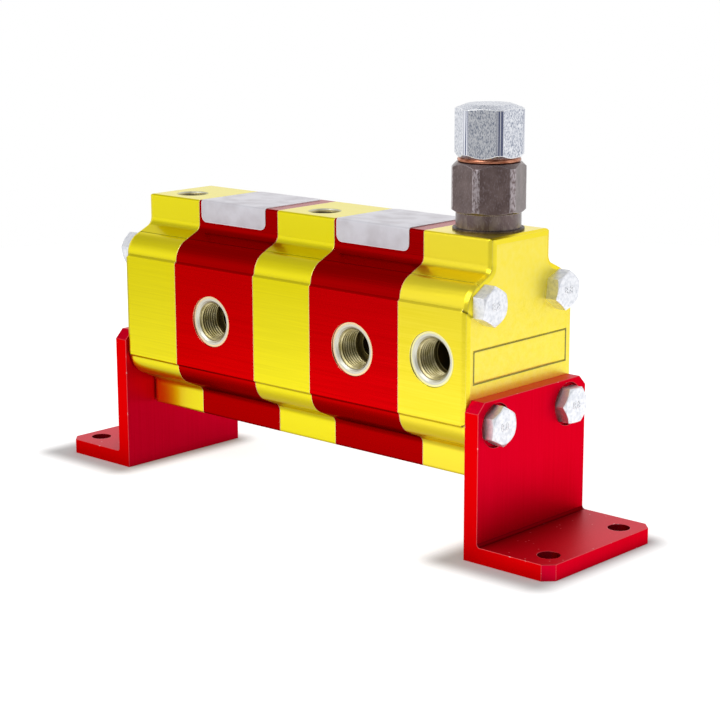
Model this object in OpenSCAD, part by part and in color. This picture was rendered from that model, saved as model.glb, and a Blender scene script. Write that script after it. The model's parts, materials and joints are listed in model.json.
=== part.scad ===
/* [Body stack] */
// Length of the left end cover
left_cover_l = 33; // [26:0.5:40]
// Length of each gear section
section_l = 48; // [44:0.5:60]
// Length of the plate between the two gear sections
middle_l = 32.5; // [30:0.5:44]
// Length of the inlet cover at the right end
inlet_cover_l = 34.5; // [32:0.5:44]
// Height of the centre line of the stack above the underside of the feet
axis_z = 75.2; // [72:0.1:90]

/* [Outline of the stack] */
// Width across the two flat side faces
body_w = 67.3; // [66:0.1:72]
// Height of the flat side faces
flat_h = 44.4; // [42:0.1:46]
// Width of the upper and lower blocks of the outline
block_w = 36.7; // [34:0.1:40]
// Height of the top face above the centre line
top_h = 48.3; // [46:0.1:54]
// Depth of the underside below the centre line
bottom_h = 47.3; // [44:0.1:50]
// Radius of the four round shoulders
shoulder_r = 9.7; // [9:0.1:10]
// Radius of the round corners along the upper and lower blocks
block_corner_r = 1; // [0.5:0.1:1.5]
// Radius of the rounding around the outer face of both end covers
end_round = 2.4; // [1.2:0.1:2.6]

/* [Gears] */
// Distance between the two gear axes of a section
gear_distance = 27; // [27:0.1:27.4]
// Number of teeth on each gear
gear_teeth = 12; // [12:1:12]
// Tip radius of the gears
gear_tip_r = 15.6; // [15.2:0.05:15.6]
// Width of the gears
gear_w = 19.9; // [14:0.1:24]
// Radius of the shaft journals
journal_r = 7; // [6:0.1:7.2]
// Play between meshed flanks, measured on the rolling circle
backlash = 0.1; // [0.08:0.01:0.2]

/* [Ports] */
// Thread radius of the three front ports, at the bottom of the thread
port_r = 8.33; // [6.6:0.01:8.4]
// Radius of the machined ring around each front port
port_ring_r = 11; // [10:0.1:12]
// Depth of the threaded part of the front ports
port_depth = 12; // [10:0.5:14]
// Thread radius of the two ports on the top face
drain_port_r = 6.58; // [4.9:0.01:6.6]

/* [Brackets and bolts] */
// Thickness of the mounting angles
angle_t = 6.5; // [5:0.1:8]
// Width of the mounting angles
angle_w = 68.6; // [67.4:0.1:72]
// Height of the mounting angles
angle_h = 63; // [60:0.5:70]
// Reach of the feet, from the end face of the stack
foot_l = 41.5; // [38:0.5:50]
// Radius of the holes in the feet
foot_hole_r = 4.5; // [3.3:0.1:5.5]
// Spacing of the four bolt lines, across and up
bolt_square = 46; // [45.8:0.1:46.2]
// Radius of the bolt shanks
bolt_r = 4; // [3:0.5:4]
// Width across the flats of the bolt heads
bolt_af = 14; // [12:0.5:14]
// Height of the bolt heads
bolt_head_h = 5.8; // [4:0.1:6]
// Depth of the round seats of the lower bolt heads in the mounting angles
bolt_seat_depth = 1.5; // [0.5:0.1:2]

/* [Relief valve] */
// Place of the valve's axis along the stack
valve_x = 79.8; // [78:0.1:80]
// Place of the valve's axis across the stack
valve_y = 1.5; // [-1:0.1:2]
// Width across the flats of the valve body's hexagon
valve_af = 26.5; // [25.8:0.1:27]
// Width across the flats of the cap nut
cap_af = 25; // [24.6:0.1:26]
// Turn of the valve body's hexagon
valve_turn = 48.4; // [0:0.1:60]
// Turn of the cap nut's hexagon
cap_turn = 25.7; // [0:0.1:60]

/* [Hidden] */

$fn = 96;
eps = 0.01;

// Seams along the stack, from the left end face to the right one
stack_l = left_cover_l + 2 * section_l + middle_l + inlet_cover_l;
x_left = -stack_l / 2;
x_seam_1 = x_left + left_cover_l;
x_seam_2 = x_seam_1 + section_l;
x_seam_3 = x_seam_2 + middle_l;
x_seam_4 = x_seam_3 + section_l;
x_right = x_left + stack_l;
seams = [x_seam_1, x_seam_2, x_seam_3, x_seam_4];

// Outline: shoulder centres, flare from block to shoulder, and its fillet
shoulder_y = 23;
shoulder_z = 22.8;
flare_in = [block_w / 2, 35.6];
flare_out = [25.6, 32.3];
flare_angle = atan2(flare_in[1] - flare_out[1], flare_out[0] - flare_in[0]);
flare_fillet_r = 3.5;
fillet_centre = flare_in + flare_fillet_r * [1, (1 - sin(flare_angle)) / cos(flare_angle)];
fillet_reach = 7;
flat_step = 1;

// Gear geometry
gear_offset = gear_distance / 2;
gear_module = 2.1;
gear_base_r = gear_module * gear_teeth / 2 * cos(20);
gear_root_r = gear_distance - gear_tip_r - 0.4;
rolling_angle = acos(gear_base_r / gear_offset);
tooth_half = (180 / gear_teeth - backlash * 90 / (PI * gear_offset)) / 2;
flank_steps = 6;
gear_bore_r = gear_tip_r + 0.2;
block_r = gear_bore_r - 0.05;
block_l = (section_l - gear_w) / 2 - 0.05;
bush_wall = 1.5;
bush_play = 0.04;
bush_r = journal_r + bush_play + bush_wall;
bush_l = block_l - 1;

// Coupling sleeve between the two driving shafts, and the tongues that fit it
coupling_r = 9.5;
coupling_gap = 1.25;
tongue_w = 6;
tongue_l = 9;

// Channels: the inlet gallery behind the gears and the drain channel in the upper block
gallery_y = 26;
gallery_r = 4;
drain_y = -6;
drain_h = 37.3;
drain_r = 2.5;
port_1_x = (x_seam_1 + x_seam_2) / 2 - 1.7;
port_2_x = (x_seam_3 + x_seam_4) / 2 - 0.45;
port_z = axis_z - 0.4;
inlet_x = x_right - 17.4;
inlet_z = axis_z + 1.7;
left_drain_x = x_left + 15.6;
middle_drain_x = (x_seam_2 + x_seam_3) / 2 - 0.7;
drain_port_depth = top_h - drain_h - drain_r;

// Seal rings
section_seal_r = gear_bore_r + 2.2;
section_seal_t = 1.6;
ring_seal_t = 1.5;
gallery_seal_r = gallery_r + 1.1;
drain_seal_r = drain_r + 1.3;
seal_slack = 0.2;

// Fasteners
bolt_clear_r = bolt_r + 0.25;
tap_r = bolt_r + 0.02;
bolt_grip = 14;
bolt_y = bolt_square / 2;
bolt_lift = 0.6;
bolt_seat_r = bolt_af / sqrt(3) + 0.7;
lower_seat = angle_t - bolt_seat_depth;
lower_shank_left = x_seam_2 - x_left + lower_seat + bolt_grip;
lower_shank_right = x_right - x_seam_3 + lower_seat + bolt_grip;
pin_r = 2.5;
pin_l = 10;
pin_places = [[-28, 12], [28, -12]];
foot_hole_x = x_right + foot_l - 9;
foot_hole_y = 23;
corner_cut = 4;

// Relief valve levels, from the top face of the inlet cover upwards and downwards
valve_z = axis_z + top_h;
base_washer_t = 0.8;
collar_r = 12.95;
collar_top = valve_z + 6.9;
hex_top = valve_z + 26.5;
washer_t = 1.9;
neck_r = 9;
neck_top = hex_top + 8;
cap_h = 20.6;
cap_cavity_r = 8.2;
nose_thread_r = 10;
nose_r = 8.2;
nose_bottom = valve_z - 27.5;
spring_bore_r = 6.2;
spring_bore_top = neck_top - 11;
spring_seat_top = neck_top - 14;
spring_seat_h = 6;
seat_insert_h = 10;
poppet_flange_z = nose_bottom + 18;
screw_l = 22;
lock_nut_h = 5;
lock_nut_af = 13;

label_t = 0.3;

// Places a flat outline drawn across the stack at x = from and gives it a length
module along_stack(from, length) {
    translate([from, 0, axis_z])
        rotate([90, 0, 90])
            linear_extrude(length)
                children();
}

// Repeats a flat shape in all four quarters of the outline
module four_quarters() {
    for (side = [0, 1])
        for (end = [0, 1])
            mirror([side, 0, 0])
                mirror([0, end, 0])
                    children();
}

// Filling between a block and the flare below it, before its round corner is cut
module fillet_backing() {
    inward = fillet_centre - fillet_reach * [sin(flare_angle), cos(flare_angle)];
    polygon([
        fillet_centre,
        [fillet_centre[0] - fillet_reach, fillet_centre[1]],
        [fillet_centre[0] - fillet_reach, inward[1]],
        inward
    ]);
}

// Flare from a block down to the shoulder
module flare() {
    polygon([[0, 0], [0, flare_in[1]], flare_in, flare_out, [flare_out[0], shoulder_z]]);
}

// The same points in reverse, on the other side of the upright axis or of the level one
function other_side(points) = [for (i = [len(points) - 1:-1:0]) [-points[i][0], points[i][1]]];
function other_end(points) = [for (i = [len(points) - 1:-1:0]) [points[i][0], -points[i][1]]];

// Places a shape at the centres of the round corners of the two blocks
module at_block_corners() {
    for (side = [0, 1])
        mirror([side, 0, 0]) {
            translate([block_w / 2 - block_corner_r, top_h - block_corner_r, 0])
                children();
            translate([block_w / 2 - block_corner_r, block_corner_r - bottom_h, 0])
                mirror([0, 1, 0])
                    children();
        }
}

// Cross-section of the stack: flat sides, round shoulders, flares and two narrow blocks
module body_outline() {
    side = body_w / 2;
    half_flat = flat_h / 2;
    spine = [
        [block_w / 2 - block_corner_r, -bottom_h],
        [block_w / 2, block_corner_r - bottom_h],
        [flare_in[0], -flare_in[1]],
        [flare_out[0], -flare_out[1]],
        flare_out,
        flare_in,
        [block_w / 2, top_h - block_corner_r],
        [block_w / 2 - block_corner_r, top_h]
    ];
    corner = [[side, half_flat], [side - flat_step, half_flat + flat_step]];
    upper = concat(corner, other_side(corner));
    polygon(concat(spine, other_side(spine)));
    polygon(concat(upper, other_end(upper)));
    at_block_corners()
        intersection() {
            circle(block_corner_r);
            square(2 * block_corner_r);
        }
    four_quarters() {
        translate([shoulder_y, shoulder_z])
            circle(shoulder_r);
        difference() {
            fillet_backing();
            translate(fillet_centre)
                circle(flare_fillet_r);
        }
    }
}

// Side view of a leaning layer, stepped in by low at its foot and by high at its top
function leaning_side(from, to, h, low, high) = [
    [from + low, 0],
    [to - low, 0],
    [to - high, h],
    [from + high, h]
];

// Prism whose four sides lean inwards
module leaning_prism(half_x, low_y, high_y, h, low, high) {
    intersection() {
        rotate([90, 0, 0])
            linear_extrude(400, center = true)
                polygon(leaning_side(-half_x, half_x, h, low, high));
        rotate([90, 0, 90])
            linear_extrude(400, center = true)
                polygon(leaning_side(low_y, high_y, h, low, high));
    }
}

// Layer of the outline whose edge steps in from low to high over the height h
module bevelled_layer(h, low, high) {
    fill_y = shoulder_z + shoulder_r;
    leaning_prism(block_w / 2, -bottom_h, top_h, h, low, high);
    leaning_prism(body_w / 2, -flat_h / 2, flat_h / 2, h, low, high);
    rotate([90, 0, 90])
        linear_extrude(2 * shoulder_y, center = true)
            polygon(leaning_side(-fill_y, fill_y, h, low, high));
    four_quarters() {
        translate([shoulder_y, shoulder_z, 0])
            cylinder(h = h, r1 = shoulder_r - low, r2 = shoulder_r - high);
        difference() {
            linear_extrude(h)
                flare();
            translate([flare_in[0], flare_in[1], 0])
                rotate([0, 0, -flare_angle])
                    rotate([90, 0, 90])
                        linear_extrude(60, center = true)
                            polygon([[-low, 0], [-high, h], [-high, h + 1], [5, h + 1], [5, 0]]);
        }
        difference() {
            linear_extrude(h)
                fillet_backing();
            translate([fillet_centre[0], fillet_centre[1], 0])
                cylinder(h = h, r1 = flare_fillet_r + low, r2 = flare_fillet_r + high);
        }
    }
}

// Rounded end of a cover: two bevelled layers on the outline's plane, between three angles of the rounding
module rounded_end() {
    angles = [0, 45, 90];
    difference() {
        for (i = [0:1])
            translate([0, 0, end_round * sin(angles[i])])
                bevelled_layer(
                    end_round * (sin(angles[i + 1]) - sin(angles[i])),
                    end_round * (1 - cos(angles[i])),
                    end_round * (1 - cos(angles[i + 1]))
                );
        at_block_corners()
            translate([0, 0, -1])
                difference() {
                    cube([2 * block_corner_r, 2 * block_corner_r, end_round + 2]);
                    cylinder(h = end_round + 2, r = block_corner_r);
                }
    }
}

// Cylinder along the stack, at a height above the centre line
module hole_along(from, length, y, h, r) {
    translate([from, y, axis_z + h])
        rotate([0, 90, 0])
            cylinder(h = length, r = r);
}

// The four bolt lines, cut through a stretch of the stack
module bolt_lines(from, length, r) {
    for (y = [-bolt_y, bolt_y])
        for (h = [-bolt_y, bolt_y])
            hole_along(from, length, y, bolt_lift + h, r);
}

// Dowel holes on both sides of a seam
module dowel_holes(seam) {
    for (place = pin_places)
        hole_along(seam - pin_l / 2 - 0.5, pin_l + 1, place[0], place[1], pin_r + 0.02);
}

// Threaded port in the front face, with its machined ring and countersink
module front_port(x, z) {
    face_y = -body_w / 2;
    translate([x, face_y, z])
        rotate([-90, 0, 0]) {
            translate([0, 0, -1])
                cylinder(h = port_depth + 1, r = port_r);
            translate([0, 0, -1])
                cylinder(h = 1.4, r = port_ring_r);
            translate([0, 0, 0.4 - eps])
                cylinder(h = 0.9, r1 = port_r + 0.9, r2 = port_r);
        }
}

// Threaded port in the top face, down to the drain channel
module top_port(x) {
    translate([x, drain_y, axis_z + top_h]) {
        translate([0, 0, -drain_port_depth])
            cylinder(h = drain_port_depth + 1, r = drain_port_r);
        translate([0, 0, drain_h - top_h])
            cylinder(h = drain_r + 1, r = 3);
        translate([0, 0, -0.5])
            cylinder(h = 0.5 + eps, r1 = drain_port_r, r2 = drain_port_r + 0.5);
    }
}

// Stadium-shaped ring around both gear bores, as a flat outline
module stadium(r) {
    for (h = [-gear_offset, gear_offset])
        translate([0, h])
            circle(r);
    square([2 * r, gear_distance], center = true);
}

// Groove for the ring seal of a section, cut into the face at x
module section_groove(from) {
    half = section_seal_t / 2 + seal_slack / 2;
    along_stack(from, section_seal_t)
        difference() {
            stadium(section_seal_r + half);
            stadium(section_seal_r - half);
        }
}

// Groove for a round ring seal
module ring_groove(from, y, h, r) {
    half = ring_seal_t / 2 + seal_slack / 2;
    difference() {
        hole_along(from, ring_seal_t, y, h, r + half);
        hole_along(from - 1, ring_seal_t + 2, y, h, r - half);
    }
}

module left_end_cover() {
    color("#e4d51c")
        difference() {
            union() {
                along_stack(x_left + end_round, left_cover_l - end_round)
                    body_outline();
                translate([x_left + end_round, 0, axis_z])
                    mirror([1, 0, 0])
                        rotate([90, 0, 90])
                            rounded_end();
            }
            bolt_lines(x_left - 1, left_cover_l + 2, bolt_clear_r);
            dowel_holes(x_seam_1);
            section_groove(x_seam_1 - section_seal_t);
            hole_along(left_drain_x - 5, x_seam_1 - left_drain_x + 6, drain_y, drain_h, drain_r);
            ring_groove(x_seam_1 - ring_seal_t, drain_y, drain_h, drain_seal_r);
            top_port(left_drain_x);
        }
}

// Housing of one gear section, with its gear bores, channels and front port
module section_housing(from, port_x, gallery_from, gallery_l) {
    difference() {
        along_stack(from, section_l)
            body_outline();
        for (h = [-gear_offset, gear_offset])
            hole_along(from - 1, section_l + 2, 0, h, gear_bore_r);
        bolt_lines(from - 1, section_l + 2, bolt_clear_r);
        dowel_holes(from);
        dowel_holes(from + section_l);
        hole_along(from - 1, section_l + 2, drain_y, drain_h, drain_r);
        hole_along(gallery_from, gallery_l, gallery_y, 0, gallery_r);
        translate([from + section_l / 2, 0, axis_z])
            rotate([-90, 0, 0])
                cylinder(h = gallery_y, r = gallery_r);
        translate([port_x, -body_w / 2, port_z])
            rotate([-90, 0, 0])
                cylinder(h = body_w / 2 - 4, r = 5);
        front_port(port_x, port_z);
    }
}

module section_1_housing() {
    color("#c1061a")
        section_housing(x_seam_1, port_1_x, x_seam_1 + 14, section_l - 13);
}

module section_2_housing() {
    color("#c1061a")
        section_housing(x_seam_3, port_2_x, x_seam_3 - 1, section_l + 2);
}

module middle_plate() {
    color("#e4d51c")
        difference() {
            along_stack(x_seam_2, middle_l)
                body_outline();
            bolt_lines(x_seam_2 - 1, middle_l + 2, tap_r);
            dowel_holes(x_seam_2);
            dowel_holes(x_seam_3);
            hole_along(x_seam_2 - 1, middle_l + 2, 0, gear_offset, coupling_r + 0.5);
            hole_along(x_seam_2 - 1, middle_l + 2, gallery_y, 0, gallery_r);
            hole_along(x_seam_2 - 1, middle_l + 2, drain_y, drain_h, drain_r);
            section_groove(x_seam_2);
            section_groove(x_seam_3 - section_seal_t);
            ring_groove(x_seam_2, gallery_y, 0, gallery_seal_r);
            ring_groove(x_seam_3 - ring_seal_t, gallery_y, 0, gallery_seal_r);
            ring_groove(x_seam_2, drain_y, drain_h, drain_seal_r);
            ring_groove(x_seam_3 - ring_seal_t, drain_y, drain_h, drain_seal_r);
            top_port(middle_drain_x);
        }
}

// Shallow engraved frame on the outer face of the inlet cover
module engraved_frame() {
    frame_w = 59;
    frame_h = 13.5;
    groove_w = 0.7;
    groove_d = 0.4;
    translate([x_right - groove_d, 0, axis_z])
        rotate([90, 0, 90])
            linear_extrude(groove_d + 1)
                difference() {
                    square([frame_w, frame_h], center = true);
                    square([frame_w - 2 * groove_w, frame_h - 2 * groove_w], center = true);
                }
}

// Stepped bore for the relief valve, from the top face down to the inlet channel
module valve_bore() {
    translate([valve_x, valve_y, 0]) {
        translate([0, 0, valve_z - 17.5])
            cylinder(h = 18.5, r = nose_thread_r + 0.02);
        translate([0, 0, nose_bottom])
            cylinder(h = 12, r = nose_r + 0.05);
        translate([0, 0, inlet_z])
            cylinder(h = nose_bottom - inlet_z + 1, r = 5);
    }
}

module inlet_cover() {
    color("#e4d51c")
        difference() {
            union() {
                along_stack(x_seam_4, inlet_cover_l - end_round)
                    body_outline();
                translate([x_right - end_round, 0, axis_z])
                    rotate([90, 0, 90])
                        rounded_end();
            }
            bolt_lines(x_seam_4 - 1, inlet_cover_l + 2, bolt_clear_r);
            dowel_holes(x_seam_4);
            section_groove(x_seam_4);
            ring_groove(x_seam_4, gallery_y, 0, gallery_seal_r);
            ring_groove(x_seam_4, drain_y, drain_h, drain_seal_r);
            front_port(inlet_x, inlet_z);
            translate([inlet_x, -body_w / 2 + port_depth - 1, inlet_z])
                rotate([-90, 0, 0])
                    cylinder(h = body_w / 2 - port_depth + gallery_y + 4, r = 7);
            hole_along(x_seam_4 - 1, inlet_x - x_seam_4 + 1, gallery_y, 0, gallery_r);
            hole_along(x_seam_4 - 1, valve_x - x_seam_4 + 1, drain_y, drain_h, drain_r);
            valve_bore();
            engraved_frame();
        }
}

// Rounded plate, drawn from one corner
module rounded_plate(w, l, r) {
    for (x = [r, w - r])
        for (y = [r, l - r])
            translate([x, y])
                circle(r);
    translate([r, 0])
        square([w - 2 * r, l]);
    translate([0, r])
        square([w, l - 2 * r]);
}

// Foil label folded round the front corner of a housing's upper block
module folded_label(from, w) {
    bend_z = axis_z + top_h - block_corner_r;
    bend_y = block_corner_r - block_w / 2;
    bend_r = block_corner_r + label_t;
    corner_r = 3;
    color("#d4d2d8") {
        translate([from, bend_y - block_corner_r, bend_z])
            rotate([90, 0, 0])
                linear_extrude(label_t)
                    difference() {
                        translate([0, -8.3])
                            rounded_plate(w, 8.3 + corner_r, corner_r);
                        translate([-1, 0])
                            square([w + 2, 5]);
                    }
        translate([from, bend_y, bend_z])
            rotate([90, 0, 90])
                linear_extrude(w)
                    intersection() {
                        difference() {
                            circle(bend_r);
                            circle(block_corner_r);
                        }
                        translate([-bend_r - 1, 0])
                            square(bend_r + 1);
                    }
        translate([from, bend_y, bend_z + block_corner_r])
            linear_extrude(label_t)
                difference() {
                    translate([0, -corner_r])
                        rounded_plate(w, block_w - 2 * block_corner_r + corner_r - 0.2, corner_r);
                    translate([-1, -5])
                        square([w + 2, 5]);
                }
    }
}

module label_1() {
    folded_label(x_seam_1 + 1.7, 39.1);
}

module label_2() {
    folded_label(x_seam_3 + 1.4, 39.1);
}

// Mounting angle at the right end, its foot pointing away from the stack
module mounting_angle() {
    inner_r = 1.5;
    difference() {
        translate([0, angle_w / 2, 0])
            rotate([90, 0, 0])
                linear_extrude(angle_w)
                    difference() {
                        square([foot_l, angle_h]);
                        difference() {
                            translate([angle_t, angle_t])
                                square([foot_l, angle_h]);
                            difference() {
                                translate([angle_t - 1, angle_t - 1])
                                    square(inner_r + 1);
                                translate([angle_t + inner_r, angle_t + inner_r])
                                    circle(inner_r);
                            }
                        }
                    }
        for (side = [-1, 1]) {
            translate([-1, side * angle_w / 2, angle_h])
                rotate([45, 0, 0])
                    translate([0, -corner_cut / sqrt(2), -corner_cut / sqrt(2)])
                        cube([angle_t + 2, 2 * corner_cut / sqrt(2), 2 * corner_cut / sqrt(2)]);
            translate([foot_l, side * angle_w / 2, -1])
                rotate([0, 0, 45])
                    translate([-corner_cut / sqrt(2), -corner_cut / sqrt(2), 0])
                        cube([2 * corner_cut / sqrt(2), 2 * corner_cut / sqrt(2), angle_t + 2]);
            translate([foot_l - 9, side * foot_hole_y, -1])
                cylinder(h = angle_t + 2, r = foot_hole_r);
            translate([-1, side * bolt_y, axis_z + bolt_lift - bolt_y])
                rotate([0, 90, 0])
                    cylinder(h = angle_t + 2, r = bolt_clear_r + 0.25);
            translate([angle_t - bolt_seat_depth, side * bolt_y, axis_z + bolt_lift - bolt_y])
                rotate([0, 90, 0])
                    cylinder(h = bolt_seat_depth + 1, r = bolt_seat_r);
        }
    }
}

module right_bracket() {
    color("#d70a28")
        translate([x_right, 0, 0])
            mounting_angle();
}

module left_bracket() {
    color("#d70a28")
        translate([x_left, 0, 0])
            mirror([1, 0, 0])
                mounting_angle();
}

// Hexagon with a coned top, standing on z = 0; the corners are trimmed by a 30 degree cone
module hex_head(af, h, trim_r) {
    intersection() {
        cylinder(h = h, r = af / sqrt(3), $fn = 6);
        cylinder(h = h, r1 = trim_r + h * sqrt(3), r2 = trim_r);
    }
}

// Hexagon-head bolt, its head on z = 0 and its shank below
module hex_bolt(shank_l, turn) {
    rotate([0, 0, turn])
        hex_head(bolt_af, bolt_head_h, bolt_af / 2 - 0.3);
    translate([0, 0, -shank_l + 1])
        cylinder(h = shank_l, r = bolt_r);
    translate([0, 0, -shank_l])
        cylinder(h = 1, r1 = bolt_r - 0.8, r2 = bolt_r);
}

// Pair of bolts at one height; turns holds the angle of each head, front one first
module bolt_pair(from, direction, h, shank_l, turns) {
    for (i = [0, 1])
        translate([from, (2 * i - 1) * bolt_y, axis_z + bolt_lift + h])
            rotate([0, 90 * direction, 0])
                hex_bolt(shank_l, turns[i]);
}

module upper_bolts_right() {
    color("#c8cdd7")
        bolt_pair(x_right, 1, bolt_y, x_right - x_seam_3 + bolt_grip, [0, -8]);
}

module lower_bolts_right() {
    color("#c8cdd7")
        bolt_pair(x_right + lower_seat, 1, -bolt_y, lower_shank_right, [0, 28]);
}

module upper_bolts_left() {
    color("#c8cdd7")
        bolt_pair(x_left, -1, bolt_y, x_seam_2 - x_left + bolt_grip, [-18, 10]);
}

module lower_bolts_left() {
    color("#c8cdd7")
        bolt_pair(x_left - lower_seat, -1, -bolt_y, lower_shank_left, [22, -6]);
}

module dowel_pins() {
    color("#b9bcc2")
        for (seam = seams)
            for (place = pin_places)
                hole_along(seam - pin_l / 2, pin_l, place[0], place[1], pin_r);
}

// Involute of an angle, in degrees
function involute(angle) = tan(angle) * 180 / PI - angle;

// Half the angle that a tooth covers at a radius
function half_tooth(r) = tooth_half + involute(rolling_angle) - involute(acos(min(1, gear_base_r / r)));

// Radius of a step along the flank, from the base circle to the tip
function flank_r(i) = gear_base_r + (gear_tip_r - gear_base_r) * i / flank_steps;

function on_circle(r, angle) = [r * cos(angle), r * sin(angle)];

// Outline points of one tooth, from its left root to its right root
function tooth_points(middle) = concat(
    [on_circle(gear_root_r, middle - half_tooth(gear_base_r) - 2)],
    [for (i = [0:flank_steps]) on_circle(flank_r(i), middle - half_tooth(flank_r(i)))],
    [for (i = [flank_steps:-1:0]) on_circle(flank_r(i), middle + half_tooth(flank_r(i)))],
    [on_circle(gear_root_r, middle + half_tooth(gear_base_r) + 2)]
);

module gear_outline() {
    polygon([for (k = [0:gear_teeth - 1]) each tooth_points(k * 360 / gear_teeth)]);
}

// Gear and shaft in one piece; tongue_side is 1 or -1 for a tongue at that end, or 0
module gear_shaft(from, h, turn, tongue_side) {
    journal_l = section_l / 2 - 0.4;
    middle_x = from + section_l / 2;
    translate([middle_x, 0, axis_z + h])
        rotate([90, 0, 90])
            difference() {
                union() {
                    rotate([0, 0, turn])
                        linear_extrude(gear_w, center = true)
                            gear_outline();
                    translate([0, 0, -journal_l])
                        cylinder(h = 2 * journal_l, r = journal_r);
                    if (tongue_side != 0)
                        intersection() {
                            cylinder(h = 200, r = journal_r, center = true);
                            translate([-tongue_w / 2, -journal_r, min(0, tongue_side * (journal_l + tongue_l))])
                                cube([tongue_w, 2 * journal_r, journal_l + tongue_l]);
                        }
                }
                for (end = [0, 1])
                    if (2 * end - 1 != tongue_side)
                        mirror([0, 0, 1 - end])
                            translate([0, 0, journal_l - 3])
                                cylinder(h = 3 + eps, r1 = 0.3, r2 = 2.2);
            }
}

module drive_gear_1() {
    color("#9aa0a6")
        gear_shaft(x_seam_1, gear_offset, 0, 1);
}

module driven_gear_1() {
    color("#9aa0a6")
        gear_shaft(x_seam_1, -gear_offset, 180 / gear_teeth, 0);
}

module drive_gear_2() {
    color("#9aa0a6")
        gear_shaft(x_seam_3, gear_offset, 0, -1);
}

module driven_gear_2() {
    color("#9aa0a6")
        gear_shaft(x_seam_3, -gear_offset, 180 / gear_teeth, 0);
}

module drive_coupling() {
    slot_d = 8.4;
    sleeve_l = middle_l - 2 * coupling_gap;
    color("#6d7278")
        translate([x_seam_2 + coupling_gap, 0, axis_z + gear_offset])
            rotate([90, 0, 90])
                difference() {
                    cylinder(h = sleeve_l, r = coupling_r);
                    for (z = [-1, sleeve_l - slot_d])
                        translate([-tongue_w / 2 - 0.05, -coupling_r - 1, z])
                            cube([tongue_w + 0.1, 2 * coupling_r + 2, slot_d + 1]);
                    translate([0, 0, -1])
                        cylinder(h = sleeve_l + 2, r = 2.5);
                }
}

// Bearing block of a section; inner is 1 where the gear lies on its +X side, or -1
module bearing_block(from, inner) {
    relief = 1.2;
    gear_face = inner > 0 ? block_l - relief : -1;
    seal_face = inner > 0 ? 0 : block_l - ring_seal_t;
    color("#b7b2a2")
        translate([from, 0, axis_z])
            rotate([90, 0, 90])
                difference() {
                    linear_extrude(block_l)
                        difference() {
                            for (h = [-gear_offset, gear_offset])
                                translate([0, h])
                                    circle(block_r);
                            for (h = [-gear_offset, gear_offset])
                                translate([0, h])
                                    circle(bush_r);
                        }
                    for (y = [-9, 3.5])
                        translate([y, -2.5, gear_face])
                            cube([5.5, 5, relief + 1]);
                    translate([0, 0, seal_face])
                        linear_extrude(ring_seal_t)
                            pressure_seal_outline(seal_slack / 2);
                }
}

// Outline of the seal on the back of a bearing block, widened by slack
module pressure_seal_outline(slack) {
    ring_r = 11.2;
    half = 0.75 + slack;
    difference() {
        union() {
            for (h = [-gear_offset, gear_offset])
                translate([0, h])
                    difference() {
                        circle(ring_r + half);
                        circle(ring_r - half);
                    }
            translate([-2.5, 0])
                square([2 * half, 5.8], center = true);
        }
        translate([slack, -40])
            square([40, 80]);
    }
}

module bearing_block_1_left() {
    bearing_block(x_seam_1, 1);
}

module bearing_block_1_right() {
    bearing_block(x_seam_2 - block_l, -1);
}

module bearing_block_2_left() {
    bearing_block(x_seam_3, 1);
}

module bearing_block_2_right() {
    bearing_block(x_seam_4 - block_l, -1);
}

module bearing_bushes() {
    color("#b08d57")
        for (from = [x_seam_1, x_seam_3])
            for (x = [from + 0.5, from + section_l - bush_l - 0.5])
                for (h = [-gear_offset, gear_offset])
                    difference() {
                        hole_along(x, bush_l, 0, h, bush_r);
                        hole_along(x - 1, bush_l + 2, 0, h, journal_r + bush_play);
                    }
}

module pressure_seals() {
    color("#1c1c1c")
        for (from = [x_seam_1, x_seam_3])
            for (x = [from, from + section_l - ring_seal_t])
                along_stack(x, ring_seal_t)
                    pressure_seal_outline(0);
}

// Half of a ring seal of round section, for the two ends of a section seal
module half_ring(r, t) {
    difference() {
        rotate_extrude()
            translate([r, 0])
                circle(t / 2, $fn = 48);
        translate([-50, -100, -50])
            cube(100);
    }
}

// Ring seal of a section, with its middle plane at x
module section_seal(x) {
    translate([x, 0, axis_z])
        rotate([90, 0, 90]) {
            translate([0, gear_offset, 0])
                half_ring(section_seal_r, section_seal_t);
            rotate([0, 0, 180])
                translate([0, gear_offset, 0])
                    half_ring(section_seal_r, section_seal_t);
            for (y = [-section_seal_r, section_seal_r])
                translate([y, 0, 0])
                    rotate([90, 0, 0])
                        cylinder(h = gear_distance, r = section_seal_t / 2, center = true, $fn = 48);
        }
}

module section_seals() {
    half = section_seal_t / 2;
    color("#1c1c1c")
        for (x = [x_seam_1 - half, x_seam_2 + half, x_seam_3 - half, x_seam_4 + half])
            section_seal(x);
}

// Round ring seal with its middle plane at x
module ring_seal(x, y, h, r) {
    translate([x, y, axis_z + h])
        rotate([0, 90, 0])
            rotate_extrude()
                translate([r, 0])
                    circle(ring_seal_t / 2, $fn = 48);
}

module gallery_seals() {
    half = ring_seal_t / 2;
    color("#1c1c1c")
        for (x = [x_seam_2 + half, x_seam_3 - half, x_seam_4 + half])
            ring_seal(x, gallery_y, 0, gallery_seal_r);
}

module drain_seals() {
    half = ring_seal_t / 2;
    color("#1c1c1c")
        for (x = [x_seam_1 - half, x_seam_2 + half, x_seam_3 - half, x_seam_4 + half])
            ring_seal(x, drain_y, drain_h, drain_seal_r);
}

// Places a piece of the relief valve on the valve's axis
module on_valve_axis(z) {
    translate([valve_x, valve_y, z])
        children();
}

module valve_base_washer() {
    color("#3b3734")
        on_valve_axis(valve_z)
            difference() {
                cylinder(h = base_washer_t, r = 14.2);
                translate([0, 0, -1])
                    cylinder(h = base_washer_t + 2, r = nose_thread_r + 0.3);
            }
}

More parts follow.
